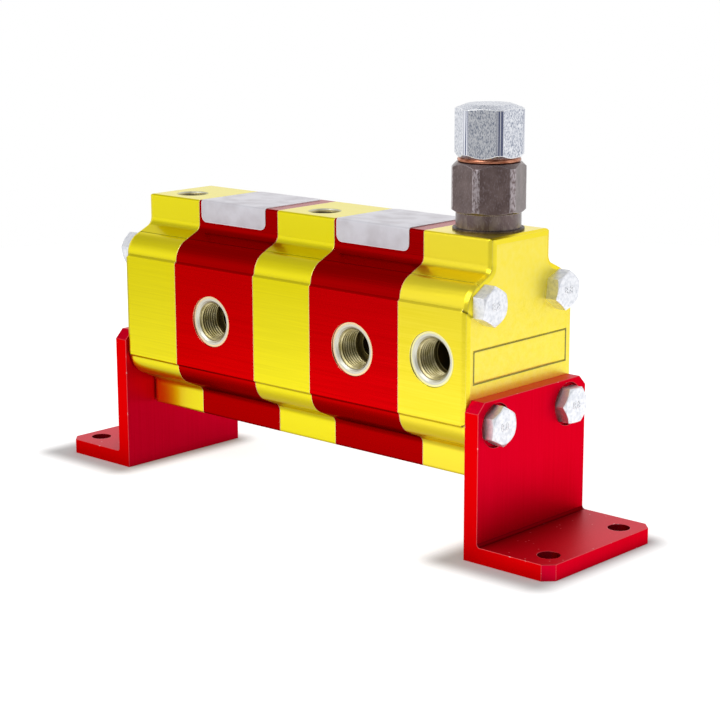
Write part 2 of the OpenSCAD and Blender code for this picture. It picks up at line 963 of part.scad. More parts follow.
module valve_body() {
    hex_r = valve_af / sqrt(3);
    hex_l = hex_top - collar_top;
    color("#64504a")
        difference() {
            union() {
                on_valve_axis(nose_bottom)
                    cylinder(h = valve_z - nose_bottom, r = nose_r);
                on_valve_axis(valve_z - 6.5)
                    cylinder(h = 6.5 + base_washer_t + eps, r = nose_thread_r);
                on_valve_axis(valve_z + base_washer_t)
                    cylinder(h = collar_top - valve_z - base_washer_t + 1, r = collar_r);
                on_valve_axis(collar_top)
                    intersection() {
                        rotate([0, 0, valve_turn])
                            cylinder(h = hex_l, r = hex_r, $fn = 6);
                        cylinder(h = hex_l, r1 = collar_r, r2 = collar_r + hex_l * sqrt(3));
                        cylinder(h = hex_l, r1 = 12.9 + hex_l, r2 = 12.9);
                        cylinder(h = hex_l, r = 14.7);
                    }
                on_valve_axis(hex_top - eps)
                    cylinder(h = neck_top - hex_top + eps, r = neck_r);
            }
            on_valve_axis(nose_bottom - 1)
                cylinder(h = spring_bore_top - nose_bottom + 1, r = spring_bore_r);
            on_valve_axis(spring_bore_top - 1)
                cylinder(h = 20, r = bolt_r + 0.05);
            on_valve_axis(nose_bottom + 3)
                ring_cut(nose_r, 1.3, 2);
            for (turn = [0, 60, 120])
                on_valve_axis(nose_bottom + 14)
                    rotate([90, 0, turn])
                        cylinder(h = 30, r = 1.8, center = true);
        }
}

// Groove turned around a cylinder of radius r
module ring_cut(r, depth, w) {
    difference() {
        cylinder(h = w, r = r + 1);
        translate([0, 0, -1])
            cylinder(h = w + 2, r = r - depth);
    }
}

module valve_nose_seal() {
    color("#1c1c1c")
        on_valve_axis(nose_bottom + 4)
            rotate_extrude()
                translate([nose_r - 0.64, 0])
                    circle(0.64, $fn = 48);
}

module valve_seat() {
    color("#8d9299")
        on_valve_axis(nose_bottom)
            difference() {
                cylinder(h = seat_insert_h, r = spring_bore_r - 0.02);
                translate([0, 0, -1])
                    cylinder(h = seat_insert_h + 2, r = 3);
                translate([0, 0, -eps])
                    cylinder(h = 3, r = 3.6, $fn = 6);
            }
}

module relief_poppet() {
    cone_h = 3.2;
    color("#8d9299")
        on_valve_axis(nose_bottom + seat_insert_h) {
            cylinder(h = cone_h, r1 = 2.6, r2 = 5.2);
            translate([0, 0, -1])
                cylinder(h = 1 + eps, r1 = 2, r2 = 2.6);
            translate([0, 0, cone_h - eps])
                cylinder(h = poppet_flange_z - nose_bottom - seat_insert_h - cone_h, r = 5.2);
            translate([0, 0, cone_h])
                cylinder(h = 11, r = 2.6);
        }
}

// Ring of points around one station of the spring wire
function wire_ring(centre, angle, r, sides) = [
    for (k = [0:sides - 1])
        let (out = r * cos(k * 360 / sides), up = r * sin(k * 360 / sides))
        [(centre[0] + out) * cos(angle), (centre[0] + out) * sin(angle), centre[1] + up]
];

module relief_spring() {
    wire_r = 0.8;
    coil_r = 4.7;
    sides = 8;
    per_turn = 18;
    turns = 7;
    low = poppet_flange_z + wire_r;
    high = spring_seat_top - spring_seat_h - wire_r;
    stations = turns * per_turn;
    rings = [
        for (i = [0:stations])
            let (dead = per_turn * 0.9, t = min(1, max(0, (i - dead) / (stations - 2 * dead))))
            let (z = low + (high - low - 2 * wire_r) * t + wire_r * (min(i, dead) + max(0, i - stations + dead)) / dead)
            each wire_ring([coil_r, z], i * 360 / per_turn, wire_r, sides)
    ];
    walls = [
        for (i = [0:stations - 1])
            for (k = [0:sides - 1])
                let (n = (k + 1) % sides)
                [i * sides + k, i * sides + n, (i + 1) * sides + n, (i + 1) * sides + k]
    ];
    caps = [
        [for (k = [sides - 1:-1:0]) k],
        [for (k = [0:sides - 1]) stations * sides + k]
    ];
    color("#7d8288")
        on_valve_axis(0)
            polyhedron(rings, concat(walls, caps));
}

module spring_seat() {
    color("#8d9299")
        on_valve_axis(spring_seat_top - spring_seat_h)
            difference() {
                union() {
                    cylinder(h = spring_seat_h, r = spring_bore_r - 0.06);
                    translate([0, 0, -3])
                        cylinder(h = 3 + eps, r = 3.3);
                }
                translate([0, 0, 2])
                    ring_cut(spring_bore_r, 1.3, 2);
            }
}

module spring_seat_seal() {
    color("#1c1c1c")
        on_valve_axis(spring_seat_top - spring_seat_h + 3)
            rotate_extrude()
                translate([spring_bore_r - 0.68, 0])
                    circle(0.6, $fn = 48);
}

module adjusting_screw() {
    color("#a9adb3")
        on_valve_axis(spring_seat_top)
            difference() {
                union() {
                    translate([0, 0, 0.8])
                        cylinder(h = screw_l - 1.6, r = bolt_r);
                    cylinder(h = 0.8 + eps, r1 = bolt_r - 0.8, r2 = bolt_r);
                    translate([0, 0, screw_l - 0.8 - eps])
                        cylinder(h = 0.8 + eps, r1 = bolt_r, r2 = bolt_r - 0.8);
                }
                translate([0, 0, screw_l - 4])
                    cylinder(h = 5, r = 4 / sqrt(3), $fn = 6);
            }
}

module adjuster_lock_nut() {
    color("#c8cdd7")
        on_valve_axis(neck_top)
            difference() {
                hex_head(lock_nut_af, lock_nut_h, lock_nut_af / 2 - 0.3);
                translate([0, 0, -1])
                    cylinder(h = lock_nut_h + 2, r = bolt_r + 0.05);
            }
}

module copper_washer() {
    outer_r = 12.5;
    color("#d78c6e")
        on_valve_axis(hex_top)
            rotate_extrude() {
                translate([neck_r + 0.3, 0])
                    square([outer_r - washer_t / 2 - neck_r - 0.3, washer_t]);
                translate([outer_r - washer_t / 2, washer_t / 2])
                    circle(washer_t / 2, $fn = 48);
            }
}

module cap_nut() {
    cap_r = cap_af / sqrt(3);
    thread_l = neck_top - hex_top - washer_t + 0.5;
    color("#c8cdd7")
        on_valve_axis(hex_top + washer_t)
            difference() {
                intersection() {
                    rotate([0, 0, cap_turn])
                        cylinder(h = cap_h, r = cap_r, $fn = 6);
                    cylinder(h = cap_h, r1 = 12.2, r2 = 12.2 + cap_h);
                    cylinder(h = cap_h, r1 = 9 + cap_h * 2.6, r2 = 9);
                    cylinder(h = cap_h, r = 13.7);
                }
                translate([0, 0, -1])
                    cylinder(h = thread_l + 1, r = neck_r + 0.02);
                translate([0, 0, -1])
                    cylinder(h = cap_h - 1.7, r = cap_cavity_r);
            }
}

left_end_cover();
section_1_housing();
middle_plate();
section_2_housing();
inlet_cover();
label_1();
label_2();
left_bracket();
right_bracket();
upper_bolts_left();
upper_bolts_right();
lower_bolts_left();
lower_bolts_right();
dowel_pins();
drive_gear_1();
driven_gear_1();
drive_gear_2();
driven_gear_2();
drive_coupling();
bearing_block_1_left();
bearing_block_1_right();
bearing_block_2_left();
bearing_block_2_right();
bearing_bushes();
pressure_seals();
section_seals();
gallery_seals();
drain_seals();
valve_base_washer();
valve_body();
valve_nose_seal();
valve_seat();
relief_poppet();
relief_spring();
spring_seat();
spring_seat_seal();
adjusting_screw();
adjuster_lock_nut();
copper_washer();
cap_nut();
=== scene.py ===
"""Looks of a gear flow divider: finishes for the packed parts, and small pieces made here."""

import json
import math

import bmesh
import bpy
from bpy.props import (
    FloatProperty, FloatVectorProperty, IntProperty, PointerProperty, StringProperty
)
from bpy.types import Operator, Panel, PropertyGroup
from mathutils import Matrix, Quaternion, Vector


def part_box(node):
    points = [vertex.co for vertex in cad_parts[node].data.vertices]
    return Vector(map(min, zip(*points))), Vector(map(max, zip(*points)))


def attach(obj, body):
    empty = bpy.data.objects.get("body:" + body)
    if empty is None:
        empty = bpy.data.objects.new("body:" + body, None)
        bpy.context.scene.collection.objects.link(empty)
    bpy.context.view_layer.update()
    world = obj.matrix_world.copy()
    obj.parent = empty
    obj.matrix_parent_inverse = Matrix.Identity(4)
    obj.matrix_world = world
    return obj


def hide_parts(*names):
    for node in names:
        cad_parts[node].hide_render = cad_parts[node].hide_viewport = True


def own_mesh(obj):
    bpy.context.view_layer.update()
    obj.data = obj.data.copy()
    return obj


bl_info = {
    "name": "Gear flow divider",
    "version": (1, 0, 0),
    "blender": (4, 5, 0),
    "location": "View3D > Sidebar > Flow divider",
    "description": "Finishes a gear flow divider and adds its threads, labels, marks and spring",
    "category": "Object",
}

MM = 0.001

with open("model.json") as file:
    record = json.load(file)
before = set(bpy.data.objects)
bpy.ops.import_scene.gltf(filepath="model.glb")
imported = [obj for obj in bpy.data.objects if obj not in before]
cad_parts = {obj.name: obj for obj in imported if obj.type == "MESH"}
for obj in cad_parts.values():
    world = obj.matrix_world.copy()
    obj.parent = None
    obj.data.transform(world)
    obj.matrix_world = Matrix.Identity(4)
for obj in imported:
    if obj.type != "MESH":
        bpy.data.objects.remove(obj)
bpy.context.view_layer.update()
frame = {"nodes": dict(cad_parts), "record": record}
NODES = frame["nodes"]
MOUNTS = {mount["name"]: mount for mount in frame["record"]["mounts"]}

FRONT_PORTS = ("outlet_1", "outlet_2", "inlet")
TOP_PORTS = ("top_port_left", "top_port_middle")
BOLT_NODES = ("upper_bolts_left", "upper_bolts_right", "lower_bolts_left", "lower_bolts_right")

# Places on the packed parts that the materials follow. The valve body's round collar is 6 mm
# high and stands on the base washer
STACK_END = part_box("inlet_cover")[1].x
PORT_HEIGHT = MOUNTS["outlet_1"]["pos_m"][2]
CAP_LOW, CAP_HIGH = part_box("cap_nut")
VALVE_AXIS = ((CAP_LOW.x + CAP_HIGH.x) / 2, (CAP_LOW.y + CAP_HIGH.y) / 2, 0)
COLLAR_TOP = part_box("valve_base_washer")[1].z + 6 * MM

# Radii about a port's axis
RIM_RADIUS = 10.85 * MM
FRONT_FACE_RADIUS = 10.1 * MM
TOP_FACE_RADIUS = 7.1 * MM
THREAD_WALL_RADIUS = 8.42 * MM

# Distances outward from the origin past which a port's rim and its machined bore lie
RIM_START = 25 * MM
FRONT_BORE_START = 12 * MM
TOP_BORE_START = 110 * MM

# Radii about the valve's axis past which the rolled corners of the hexagon bars are left
CAP_CORNER_RADIUS = 13.6 * MM
BODY_CORNER_RADIUS = 14.46 * MM

# The rectangle that the right foot covers on the floor. The left one mirrors it
FOOT_CENTRE = (118 * MM, 0, 0)
FOOT_HALF = (21.5 * MM, 34.3 * MM, 0)

WHITE = "#FFFFFF"
FRONT = (0, -1, 0)
UP = (0, 0, 1)
SMOOTH_ANGLE = math.radians(35)
MERGE_DISTANCE = 0.001 * MM


def linear(code):
    """Turns an sRGB hex colour into the linear colour, with alpha, that a node's socket holds."""
    parts = [int(code[i:i + 2], 16) / 255 for i in (1, 3, 5)]
    return (*(c / 12.92 if c <= 0.04045 else ((c + 0.055) / 1.055) ** 2.4 for c in parts), 1.0)


def colour(name, description, code):
    """A colour that a user can change, with its default as an sRGB hex value."""
    return FloatVectorProperty(
        name=name, description=description, subtype="COLOR", size=4, min=0, max=1,
        default=linear(code),
    )


def length(name, description, default):
    """A length that a user can change, with its default in millimetres."""
    return FloatProperty(
        name=name, description=description, unit="LENGTH", min=0, precision=5,
        default=default * MM,
    )


# Settings


class FinishSettings(PropertyGroup):
    """Colours of the metal parts."""

    yellow: colour("Yellow", "Dye of the left end cover and the middle plate", "#F2E40A")
    yellow_deep: colour("Deep yellow", "The yellow dye in the drawn lines", "#EADC04")
    inlet_yellow: colour("Inlet yellow", "Dye of the inlet cover, from a paler bath", "#FBE734")
    inlet_deep: colour("Deep inlet yellow", "The inlet's dye in the drawn lines", "#F4E024")
    red: colour("Red", "Dye of the gear sections", "#D2000A")
    red_deep: colour("Deep red", "The red dye in the drawn lines", "#C40008")
    angle_red: colour("Angle red", "Dye of the mounting angles", "#DC0430")
    angle_deep: colour("Deep angle red", "The angles' dye in the mill lines", "#D6022A")
    angle_sawn: colour("Sawn angle red", "The dye on the angles' sawn faces", "#E60008")
    bare: colour("Bare aluminium", "Faces machined after anodising", "#DCDBCB")
    zinc: colour("Zinc", "Zinc plating of the cap nut", "#F0F2F7")
    brown: colour("Browned steel", "Body of the relief valve", "#6A5755")


class ThreadSettings(PropertyGroup):
    """Parallel pipe threads of the ports, with 19 turns to the inch."""

    pitch: length("Pitch", "Distance from turn to turn", 25.4 / 19)
    depth: length("Depth", "Height of the ridge above the wall", 0.856)
    crest: length("Crest", "Width of the ridge's flat top", 0.3)
    front_chamfer: length("Front chamfer", "Depth of a front port's chamfer", 0.9)
    top_chamfer: length("Top chamfer", "Depth of a top port's chamfer", 0.5)
    steps: IntProperty(name="Steps", description="Faces round one turn", min=12, default=48)


class LabelSettings(PropertyGroup):
    """Foil labels folded over the front edge of the gear sections."""

    foil: colour("Foil", "Metallised film of the labels", "#DCDAE1")
    thickness: length("Thickness", "Thickness of the film and its glue", 0.3)
    corner: length("Corner", "Radius of the corners", 3)
    fold: length("Fold", "Outer radius of the fold", 1.3)
    bends: IntProperty(name="Bends", description="Facets in the fold", min=2, default=6)


class MarkSettings(PropertyGroup):
    """Raised strength class on the bolt heads."""

    text: StringProperty(name="Text", description="Strength class of the bolts", default="8.8")
    height: length("Height", "Size of the figures", 4.2)
    relief: length("Relief", "Height of the figures above the head", 0.15)
    spacing: length("Spacing", "Distance between the bolts of a pair", 46)


class SpringSettings(PropertyGroup):
    """Relief spring: one dead turn at each end, ground flat, and open turns between."""

    wire: length("Wire", "Diameter of the wire", 1.6)
    coil: length("Coil", "Radius of the middle of the wire", 4.7)
    open_turns: IntProperty(name="Open turns", description="Turns that give way", min=2, default=5)
    sides: IntProperty(name="Sides", description="Faces round the wire", min=6, default=12)
    steps: IntProperty(name="Steps", description="Faces along one turn", min=12, default=40)


class StageSettings(PropertyGroup):
    """Floor, studio light and camera."""

    floor_radius: length("Floor radius", "Radius of the floor", 700)
    floor_colour: colour("Floor", "Paint of the floor", "#B4B4B4")
    camera_place: FloatVectorProperty(
        name="Camera", description="Place of the camera", unit="LENGTH",
        default=(0.5489, -0.5863, 0.2403),
    )
    camera_aim: FloatVectorProperty(
        name="Aim", description="Point that the camera looks at", unit="LENGTH",
        default=(0.0223, -0.0105, 0.0640),
    )
    lens: FloatProperty(
        name="Lens", description="Focal length on a sensor 36 mm wide", unit="CAMERA",
        default=96.5,
    )
    roll: FloatProperty(
        name="Roll", description="Tilt of the camera to one side", subtype="ANGLE",
        default=-0.0027,
    )


SETTINGS = {
    "flow_divider_finish": FinishSettings,
    "flow_divider_threads": ThreadSettings,
    "flow_divider_labels": LabelSettings,
    "flow_divider_marks": MarkSettings,
    "flow_divider_spring": SpringSettings,
    "flow_divider_stage": StageSettings,
}


# Material helpers


def feed(tree, node, values):
    """Sets a node's inputs, or links them to given outputs or to other nodes' first outputs. A
    colour may be given as an sRGB hex value."""
    for name, value in values.items():
        if isinstance(name, int):
            socket = node.inputs[name]
        else:
            socket = next(s for s in node.inputs if s.enabled and s.name == name)
        if isinstance(value, str):
            value = linear(value)
        if isinstance(value, bpy.types.Node):
            value = next(s for s in value.outputs if s.enabled)
        if isinstance(value, bpy.types.NodeSocket):
            tree.links.new(value, socket)
        else:
            socket.default_value = value
    return node


def add(tree, kind, values=None, **settings):
    """Adds a shader node with its settings, its values and its links."""
    node = tree.nodes.new("ShaderNode" + kind)
    for name, setting in settings.items():
        setattr(node, name, setting)
    return feed(tree, node, values or {})


def new_material(name, values):
    """A material whose shader has these values, with its tree, its shader and a point's place."""
    material = bpy.data.materials.new(name)
    material.use_nodes = True
    tree = material.node_tree
    shader = feed(tree, tree.nodes["Principled BSDF"], values)
    return material, tree, shader, add(tree, "TexCoord").outputs["Object"]


def grain(tree, place, cell, detail=3.0):
    """Noise from 0 to 1 whose cells have this size along X, Y and Z, in millimetres."""
    scale = [1 / (side * MM) for side in cell]
    scaled = add(tree, "Mapping", {"Vector": place, "Scale": scale})
    noise = add(tree, "TexNoise", {"Vector": scaled, "Scale": 1.0, "Detail": detail})
    return noise.outputs["Fac"]


def corners(tree, radius, full=0.93):
    """The normal with corners rounded off, and a mask that is 1 where it turns this far."""
    rounded = add(tree, "Bevel", {"Radius": radius}, samples=8)
    flat = add(tree, "NewGeometry").outputs["Normal"]
    agree = add(tree, "VectorMath", {0: rounded, 1: flat}, operation="DOT_PRODUCT")
    turned = add(tree, "MapRange", {"Value": agree, "From Min": 0.998, "From Max": full})
    return rounded, turned


def size_along_x(tree, vector):
    """How much of a vector lies along the stack, whichever way."""
    along = add(tree, "SeparateXYZ", {"Vector": vector}).outputs["X"]
    return add(tree, "Math", {0: along}, operation="ABSOLUTE")


def sheen(tree, normal, dye):
    """What a dyed metal mirrors at a grazing angle: its dye, but white on faces that look up, a
    painted sheen.
    """
    upward = add(tree, "SeparateXYZ", {"Vector": normal}).outputs["Z"]
    top = add(tree, "MapRange", {"Value": upward, "From Min": 0.9, "From Max": 0.99})
    return add(tree, "Mix", {"Factor": top, "A": dye, "B": WHITE}, data_type="RGBA")


def rolled_band(tree, place, radius):
    """1 on the rolled corners of a hexagon bar on the valve's axis, past this radius."""
    level = add(tree, "VectorMath", {0: place, 1: (1, 1, 0)}, operation="MULTIPLY")
    reach = add(tree, "VectorMath", {0: level, 1: VALVE_AXIS}, operation="DISTANCE")
    return add(tree, "MapRange", {
        "Value": reach, "From Min": radius, "From Max": radius + 0.08 * MM
    })


def specks(tree, place, cell, share):
    """A mask of small marks, one in some of the cells of this size in millimetres."""
    spots = add(tree, "TexVoronoi", {"Vector": place, "Scale": 1 / (cell * MM)})
    distance = spots.outputs["Distance"]
    small = add(tree, "MapRange", {"Value": distance, "From Min": 0.16, "From Max": 0.08})
    draw = add(tree, "SeparateColor", {"Color": spots.outputs["Color"]}).outputs["Red"]
    chosen = add(tree, "Math", {0: draw, 1: share}, operation="LESS_THAN")
    return add(tree, "Math", {0: small, 1: chosen}, operation="MULTIPLY")


def port_mask(tree, place, ports, radius, outward, start):
    """1 within this radius of the ports' axes and past this start outward, and 0 elsewhere."""
    plane = [1 - abs(step) for step in outward]
    flat = add(tree, "VectorMath", {0: place, 1: plane}, operation="MULTIPLY")
    nearest = None
    for name in ports:
        centre = [p * q for p, q in zip(MOUNTS[name]["pos_m"], plane)]
        gap = add(tree, "VectorMath", {0: flat, 1: centre}, operation="DISTANCE")
        if nearest is None:
            nearest = gap
        else:
            nearest = add(tree, "Math", {0: nearest, 1: gap}, operation="MINIMUM")
    inside = add(tree, "Math", {0: nearest, 1: radius}, operation="LESS_THAN")
    along = add(tree, "VectorMath", {0: place, 1: outward}, operation="DOT_PRODUCT")
    outer = add(tree, "Math", {0: along, 1: start}, operation="GREATER_THAN")
    return add(tree, "Math", {0: inside, 1: outer}, operation="MULTIPLY")


# Materials


def anodised_stack(name, dye, deep, block, bare, pale, coat, roughness):
    """Aluminium extrusion, drawn, then anodised and dyed: bright metal colour with fine lines
    along the stack under a clear film. The sawn ends are cloudy and duller, a painted
    highlight runs pale along the corners next to each piece's ends, where the film is also
    worn thin, inside corners get painted shade, and the port faces are machined bare after
    anodising."""
    material, tree, shader, place = new_material(
        name, {"Metallic": 1.0, "Coat Weight": coat, "Coat Roughness": 0.12}
    )
    # The real lines are about 0.1 mm apart; they are drawn 0.7 mm apart so that they show
    fine = grain(tree, place, (45, 0.7, 0.7))
    broad = grain(tree, place, (120, 5, 5), 2.0)
    lines = add(tree, "Mix", {"Factor": 0.3, "A": fine, "B": broad}, data_type="FLOAT")
    drawn = add(tree, "MapRange", {"Value": lines, "From Min": 0.36, "From Max": 0.6})
    sides = add(tree, "Mix", {"Factor": drawn, "A": deep, "B": dye}, data_type="RGBA")
    # Painted shade: the upper and the lower block take the block colour, which for the red sections
    # is darker than the flat sides, standing for the dimmer room that they mirror
    height = add(tree, "SeparateXYZ", {"Vector": place}).outputs["Z"]
    level = add(tree, "Math", {0: height, 1: PORT_HEIGHT}, operation="SUBTRACT")
    away = add(tree, "Math", {0: level}, operation="ABSOLUTE")
    beyond = add(tree, "MapRange", {"Value": away, "From Min": 22.3 * MM, "From Max": 24.5 * MM})
    dyed = add(tree, "Mix", {"Factor": beyond, "A": sides, "B": block}, data_type="RGBA")
    # Sawn ends
    flat = add(tree, "NewGeometry").outputs["Normal"]
    facing = size_along_x(tree, flat)
    sawn = add(tree, "MapRange", {"Value": facing, "From Min": 0.93, "From Max": 0.99})
    cloud = grain(tree, place, (2.5, 2.5, 2.5), 5.0)
    patchy = add(tree, "MapRange", {
        "Value": cloud, "From Min": 0.3, "From Max": 0.7, "To Min": 0.12, "To Max": 0.26
    })
    cloudy = add(tree, "Math", {0: sawn, 1: patchy}, operation="MULTIPLY")
    ends = add(tree, "Mix", {"Factor": cloudy, "A": dyed, "B": pale}, data_type="RGBA")
    # The covers' rounded ends are modelled in two slopes, which a wider rounding runs together
    rounding = add(tree, "MapRange", {
        "Value": size_along_x(tree, place),
        "From Min": STACK_END - 3.4 * MM, "From Max": STACK_END - 3.2 * MM,
        "To Min": 0.45 * MM, "To Max": 0.9 * MM,
    })
    rounded = add(tree, "Bevel", {"Radius": rounding}, samples=8)
    # Painted highlight: pale where the rounded normal turns towards a piece's end, along its
    # corners, where the film is also worn thin
    turned = size_along_x(tree, rounded)
    seam = add(tree, "Math", {0: turned, 1: facing}, operation="SUBTRACT")
    cut = add(tree, "MapRange", {"Value": seam, "From Min": 0.25, "From Max": 0.5})
    seam_lit_and_worn = add(tree, "Mix", {"Factor": cut, "A": ends, "B": pale}, data_type="RGBA")
    # Painted shade in inside corners
    room = add(tree, "AmbientOcclusion", {"Distance": 2.2 * MM}, samples=8, only_local=True)
    painted_corner_shade = add(tree, "MapRange", {
        "Value": room.outputs["AO"],
        "From Min": 0.95, "From Max": 0.7, "To Min": 1.0, "To Max": 0.35,
    })
    shaded = add(tree, "VectorMath", {0: seam_lit_and_worn, "Scale": painted_corner_shade}, operation="SCALE")
    # Port faces, bare inside a pale rim where the cutter left the film thin
    rim = port_mask(tree, place, FRONT_PORTS, RIM_RADIUS, FRONT, RIM_START)
    rimmed = add(tree, "Mix", {"Factor": rim, "A": shaded, "B": pale}, data_type="RGBA")
    front = port_mask(tree, place, FRONT_PORTS, FRONT_FACE_RADIUS, FRONT, FRONT_BORE_START)
    top = port_mask(tree, place, TOP_PORTS, TOP_FACE_RADIUS, UP, TOP_BORE_START)
    machined = add(tree, "Math", {0: front, 1: top}, operation="MAXIMUM")
    bared = add(tree, "Mix", {"Factor": machined, "A": rimmed, "B": bare}, data_type="RGBA")
    # Painted shade and tapping oil: the walls between the threads are a darker olive
    wall = port_mask(tree, place, FRONT_PORTS, THREAD_WALL_RADIUS, FRONT, FRONT_BORE_START)
    oiled = add(tree, "Mix", {"Factor": wall, "A": bared, "B": "#877B50"}, data_type="RGBA")
    polish = add(tree, "MapRange", {
        "Value": lines, "From Min": 0.3, "From Max": 0.7,
        "To Min": roughness + 0.04, "To Max": roughness - 0.04,
    })
    dull = add(tree, "Math", {0: sawn, 1: machined}, operation="MAXIMUM")
    rough = add(tree, "Mix", {"Factor": dull, "A": polish, "B": 0.46}, data_type="FLOAT")
    relief = add(tree, "Mix", {"Factor": sawn, "A": lines, "B": cloud}, data_type="FLOAT")
    bump = add(tree, "Bump", {
        "Strength": 0.08, "Distance": 0.02 * MM, "Height": relief, "Normal": rounded
    })
    feed(tree, shader, {
        "Base Color": oiled, "Roughness": rough, "Normal": bump,
        "Specular Tint": sheen(tree, flat, dye),
    })
    return material


def anodised_angle(finish):
    """Extruded aluminium angle, sawn and drilled, etched matt, then anodised and dyed: even
    satin red with faint upright lines, brighter on the sawn faces, with a few chips down to
    bare metal along the corners and dust on the feet."""
    material, tree, shader, place = new_material(
        "Anodised aluminium angle, etched matt", {"Metallic": 1.0}
    )
    # The real lines are about 0.1 mm apart; they are drawn 0.9 mm apart so that they show
    lines = grain(tree, place, (0.9, 0.9, 40))
    drawn = add(tree, "MapRange", {"Value": lines, "From Min": 0.3, "From Max": 0.7})
    dyed = add(tree, "Mix", {
        "Factor": drawn, "A": finish.angle_deep, "B": finish.angle_red
    }, data_type="RGBA")
    flat = add(tree, "NewGeometry").outputs["Normal"]
    parts = add(tree, "SeparateXYZ", {"Vector": flat}).outputs
    across = add(tree, "Math", {0: parts["Y"]}, operation="ABSOLUTE")
    sawn = add(tree, "MapRange", {"Value": across, "From Min": 0.9, "From Max": 0.99})
    faces = add(tree, "Mix", {"Factor": sawn, "A": dyed, "B": finish.angle_sawn}, data_type="RGBA")
    # Painted shade in the inside corner of the angle, standing for the corner mirroring its own red
    # instead of the room
    room = add(tree, "AmbientOcclusion", {"Distance": 30 * MM}, samples=8, only_local=True)
    open_to = room.outputs["AO"]
    painted_inside_shade = add(tree, "MapRange", {
        "Value": open_to, "From Min": 0.95, "From Max": 0.5, "To Min": 1.0, "To Max": 0.53
    })
    inside = add(tree, "VectorMath", {0: faces, "Scale": painted_inside_shade}, operation="SCALE")
    # Painted shade on faces that slant up and sideways, such as the fillet at the angle's inside
    # root
    slant = add(tree, "Math", {0: size_along_x(tree, flat), 1: parts["Z"]}, operation="MULTIPLY")
    root = add(tree, "MapRange", {
        "Value": slant, "From Min": 0.05, "From Max": 0.2, "To Min": 1.0, "To Max": 0.3
    })
    shaded = add(tree, "VectorMath", {0: inside, "Scale": root}, operation="SCALE")
    # Only outside corners are rounded, and chipped
    rounding = add(tree, "MapRange", {
        "Value": open_to, "From Min": 0.6, "From Max": 0.7, "To Max": 0.45 * MM
    })
    rounded, edge = corners(tree, rounding)
    chips = add(tree, "MapRange", {
        "Value": grain(tree, place, (3, 3, 3), 6.0),
        "From Min": 0.66, "From Max": 0.69, "To Min": 0.15,
    })
    chipped = add(tree, "Math", {0: edge, 1: chips}, operation="MULTIPLY")
    worn = add(tree, "Mix", {"Factor": chipped, "A": shaded, "B": "#F4DCDC"}, data_type="RGBA")
    upward = add(tree, "MapRange", {"Value": parts["Z"], "From Min": 0.9, "From Max": 0.99})
    dust = add(tree, "Math", {0: specks(tree, place, 3.0, 0.3), 1: upward}, operation="MULTIPLY")
    marked = add(tree, "Mix", {"Factor": dust, "A": worn, "B": "#E8A0A0"}, data_type="RGBA")
    # The etch's pits are under 0.1 mm wide; they are drawn 0.4 mm wide so that they show
    etched = grain(tree, place, (0.4, 0.4, 0.4))
    bump = add(tree, "Bump", {
        "Strength": 0.2, "Distance": 0.03 * MM, "Height": etched, "Normal": rounded
    })
    rough = add(tree, "MapRange", {"Value": lines, "To Min": 0.46, "To Max": 0.44})
    feed(tree, shader, {
        "Base Color": marked, "Roughness": rough, "Normal": bump,
        "Specular Tint": sheen(tree, flat, finish.angle_red),
    })
    return material


def zinc_plated(name, cell, relief, tint, dull, corner, roughness, rolled=None):
    """Zinc-plated steel: a pale, bluish metal, cloudy where the plating's crystals lie
    differently, with a painted highlight whitening its corners. The rolled corners of a
    hexagon bar, beyond the rolled radius, show as streaked bands, the rolling's own streaks
    with painted reflections in dark and bright lines."""
    material, tree, shader, place = new_material(name, {"Metallic": 1.0})
    cloud = grain(tree, place, cell, 4.0)
    frost = add(tree, "MapRange", {"Value": cloud, "From Min": 0.34, "From Max": 0.6})
    skin = add(tree, "Mix", {"Factor": frost, "A": dull, "B": tint}, data_type="RGBA")
    if rolled is not None:
        # Painted reflections: dark and bright streaks across the rolled corners, along with the
        # rolling's own streaks
        streak = add(tree, "MapRange", {
            "Value": grain(tree, place, (0.6, 0.6, 60), 1.0), "From Min": 0.45, "From Max": 0.55
        })
        bar = add(tree, "Mix", {"Factor": streak, "A": "#6C7390", "B": "#F4F6FC"}, data_type="RGBA")
        band = rolled_band(tree, place, rolled)
        skin = add(tree, "Mix", {"Factor": band, "A": skin, "B": bar}, data_type="RGBA")
    # Painted highlight: corners are mixed towards white
    rounded, edge = corners(tree, 0.35 * MM, corner)
    bright = add(tree, "Mix", {"Factor": edge, "A": skin, "B": "#FAFBFD"}, data_type="RGBA")
    rough = add(tree, "MapRange", {
        "Value": cloud, "From Min": 0.3, "From Max": 0.7,
        "To Min": roughness + 0.04, "To Max": roughness - 0.04,
    })
    bump = add(tree, "Bump", {
        "Strength": relief, "Distance": 0.03 * MM, "Height": cloud, "Normal": rounded
    })
    feed(tree, shader, {"Base Color": bright, "Roughness": rough, "Normal": bump})
    return material


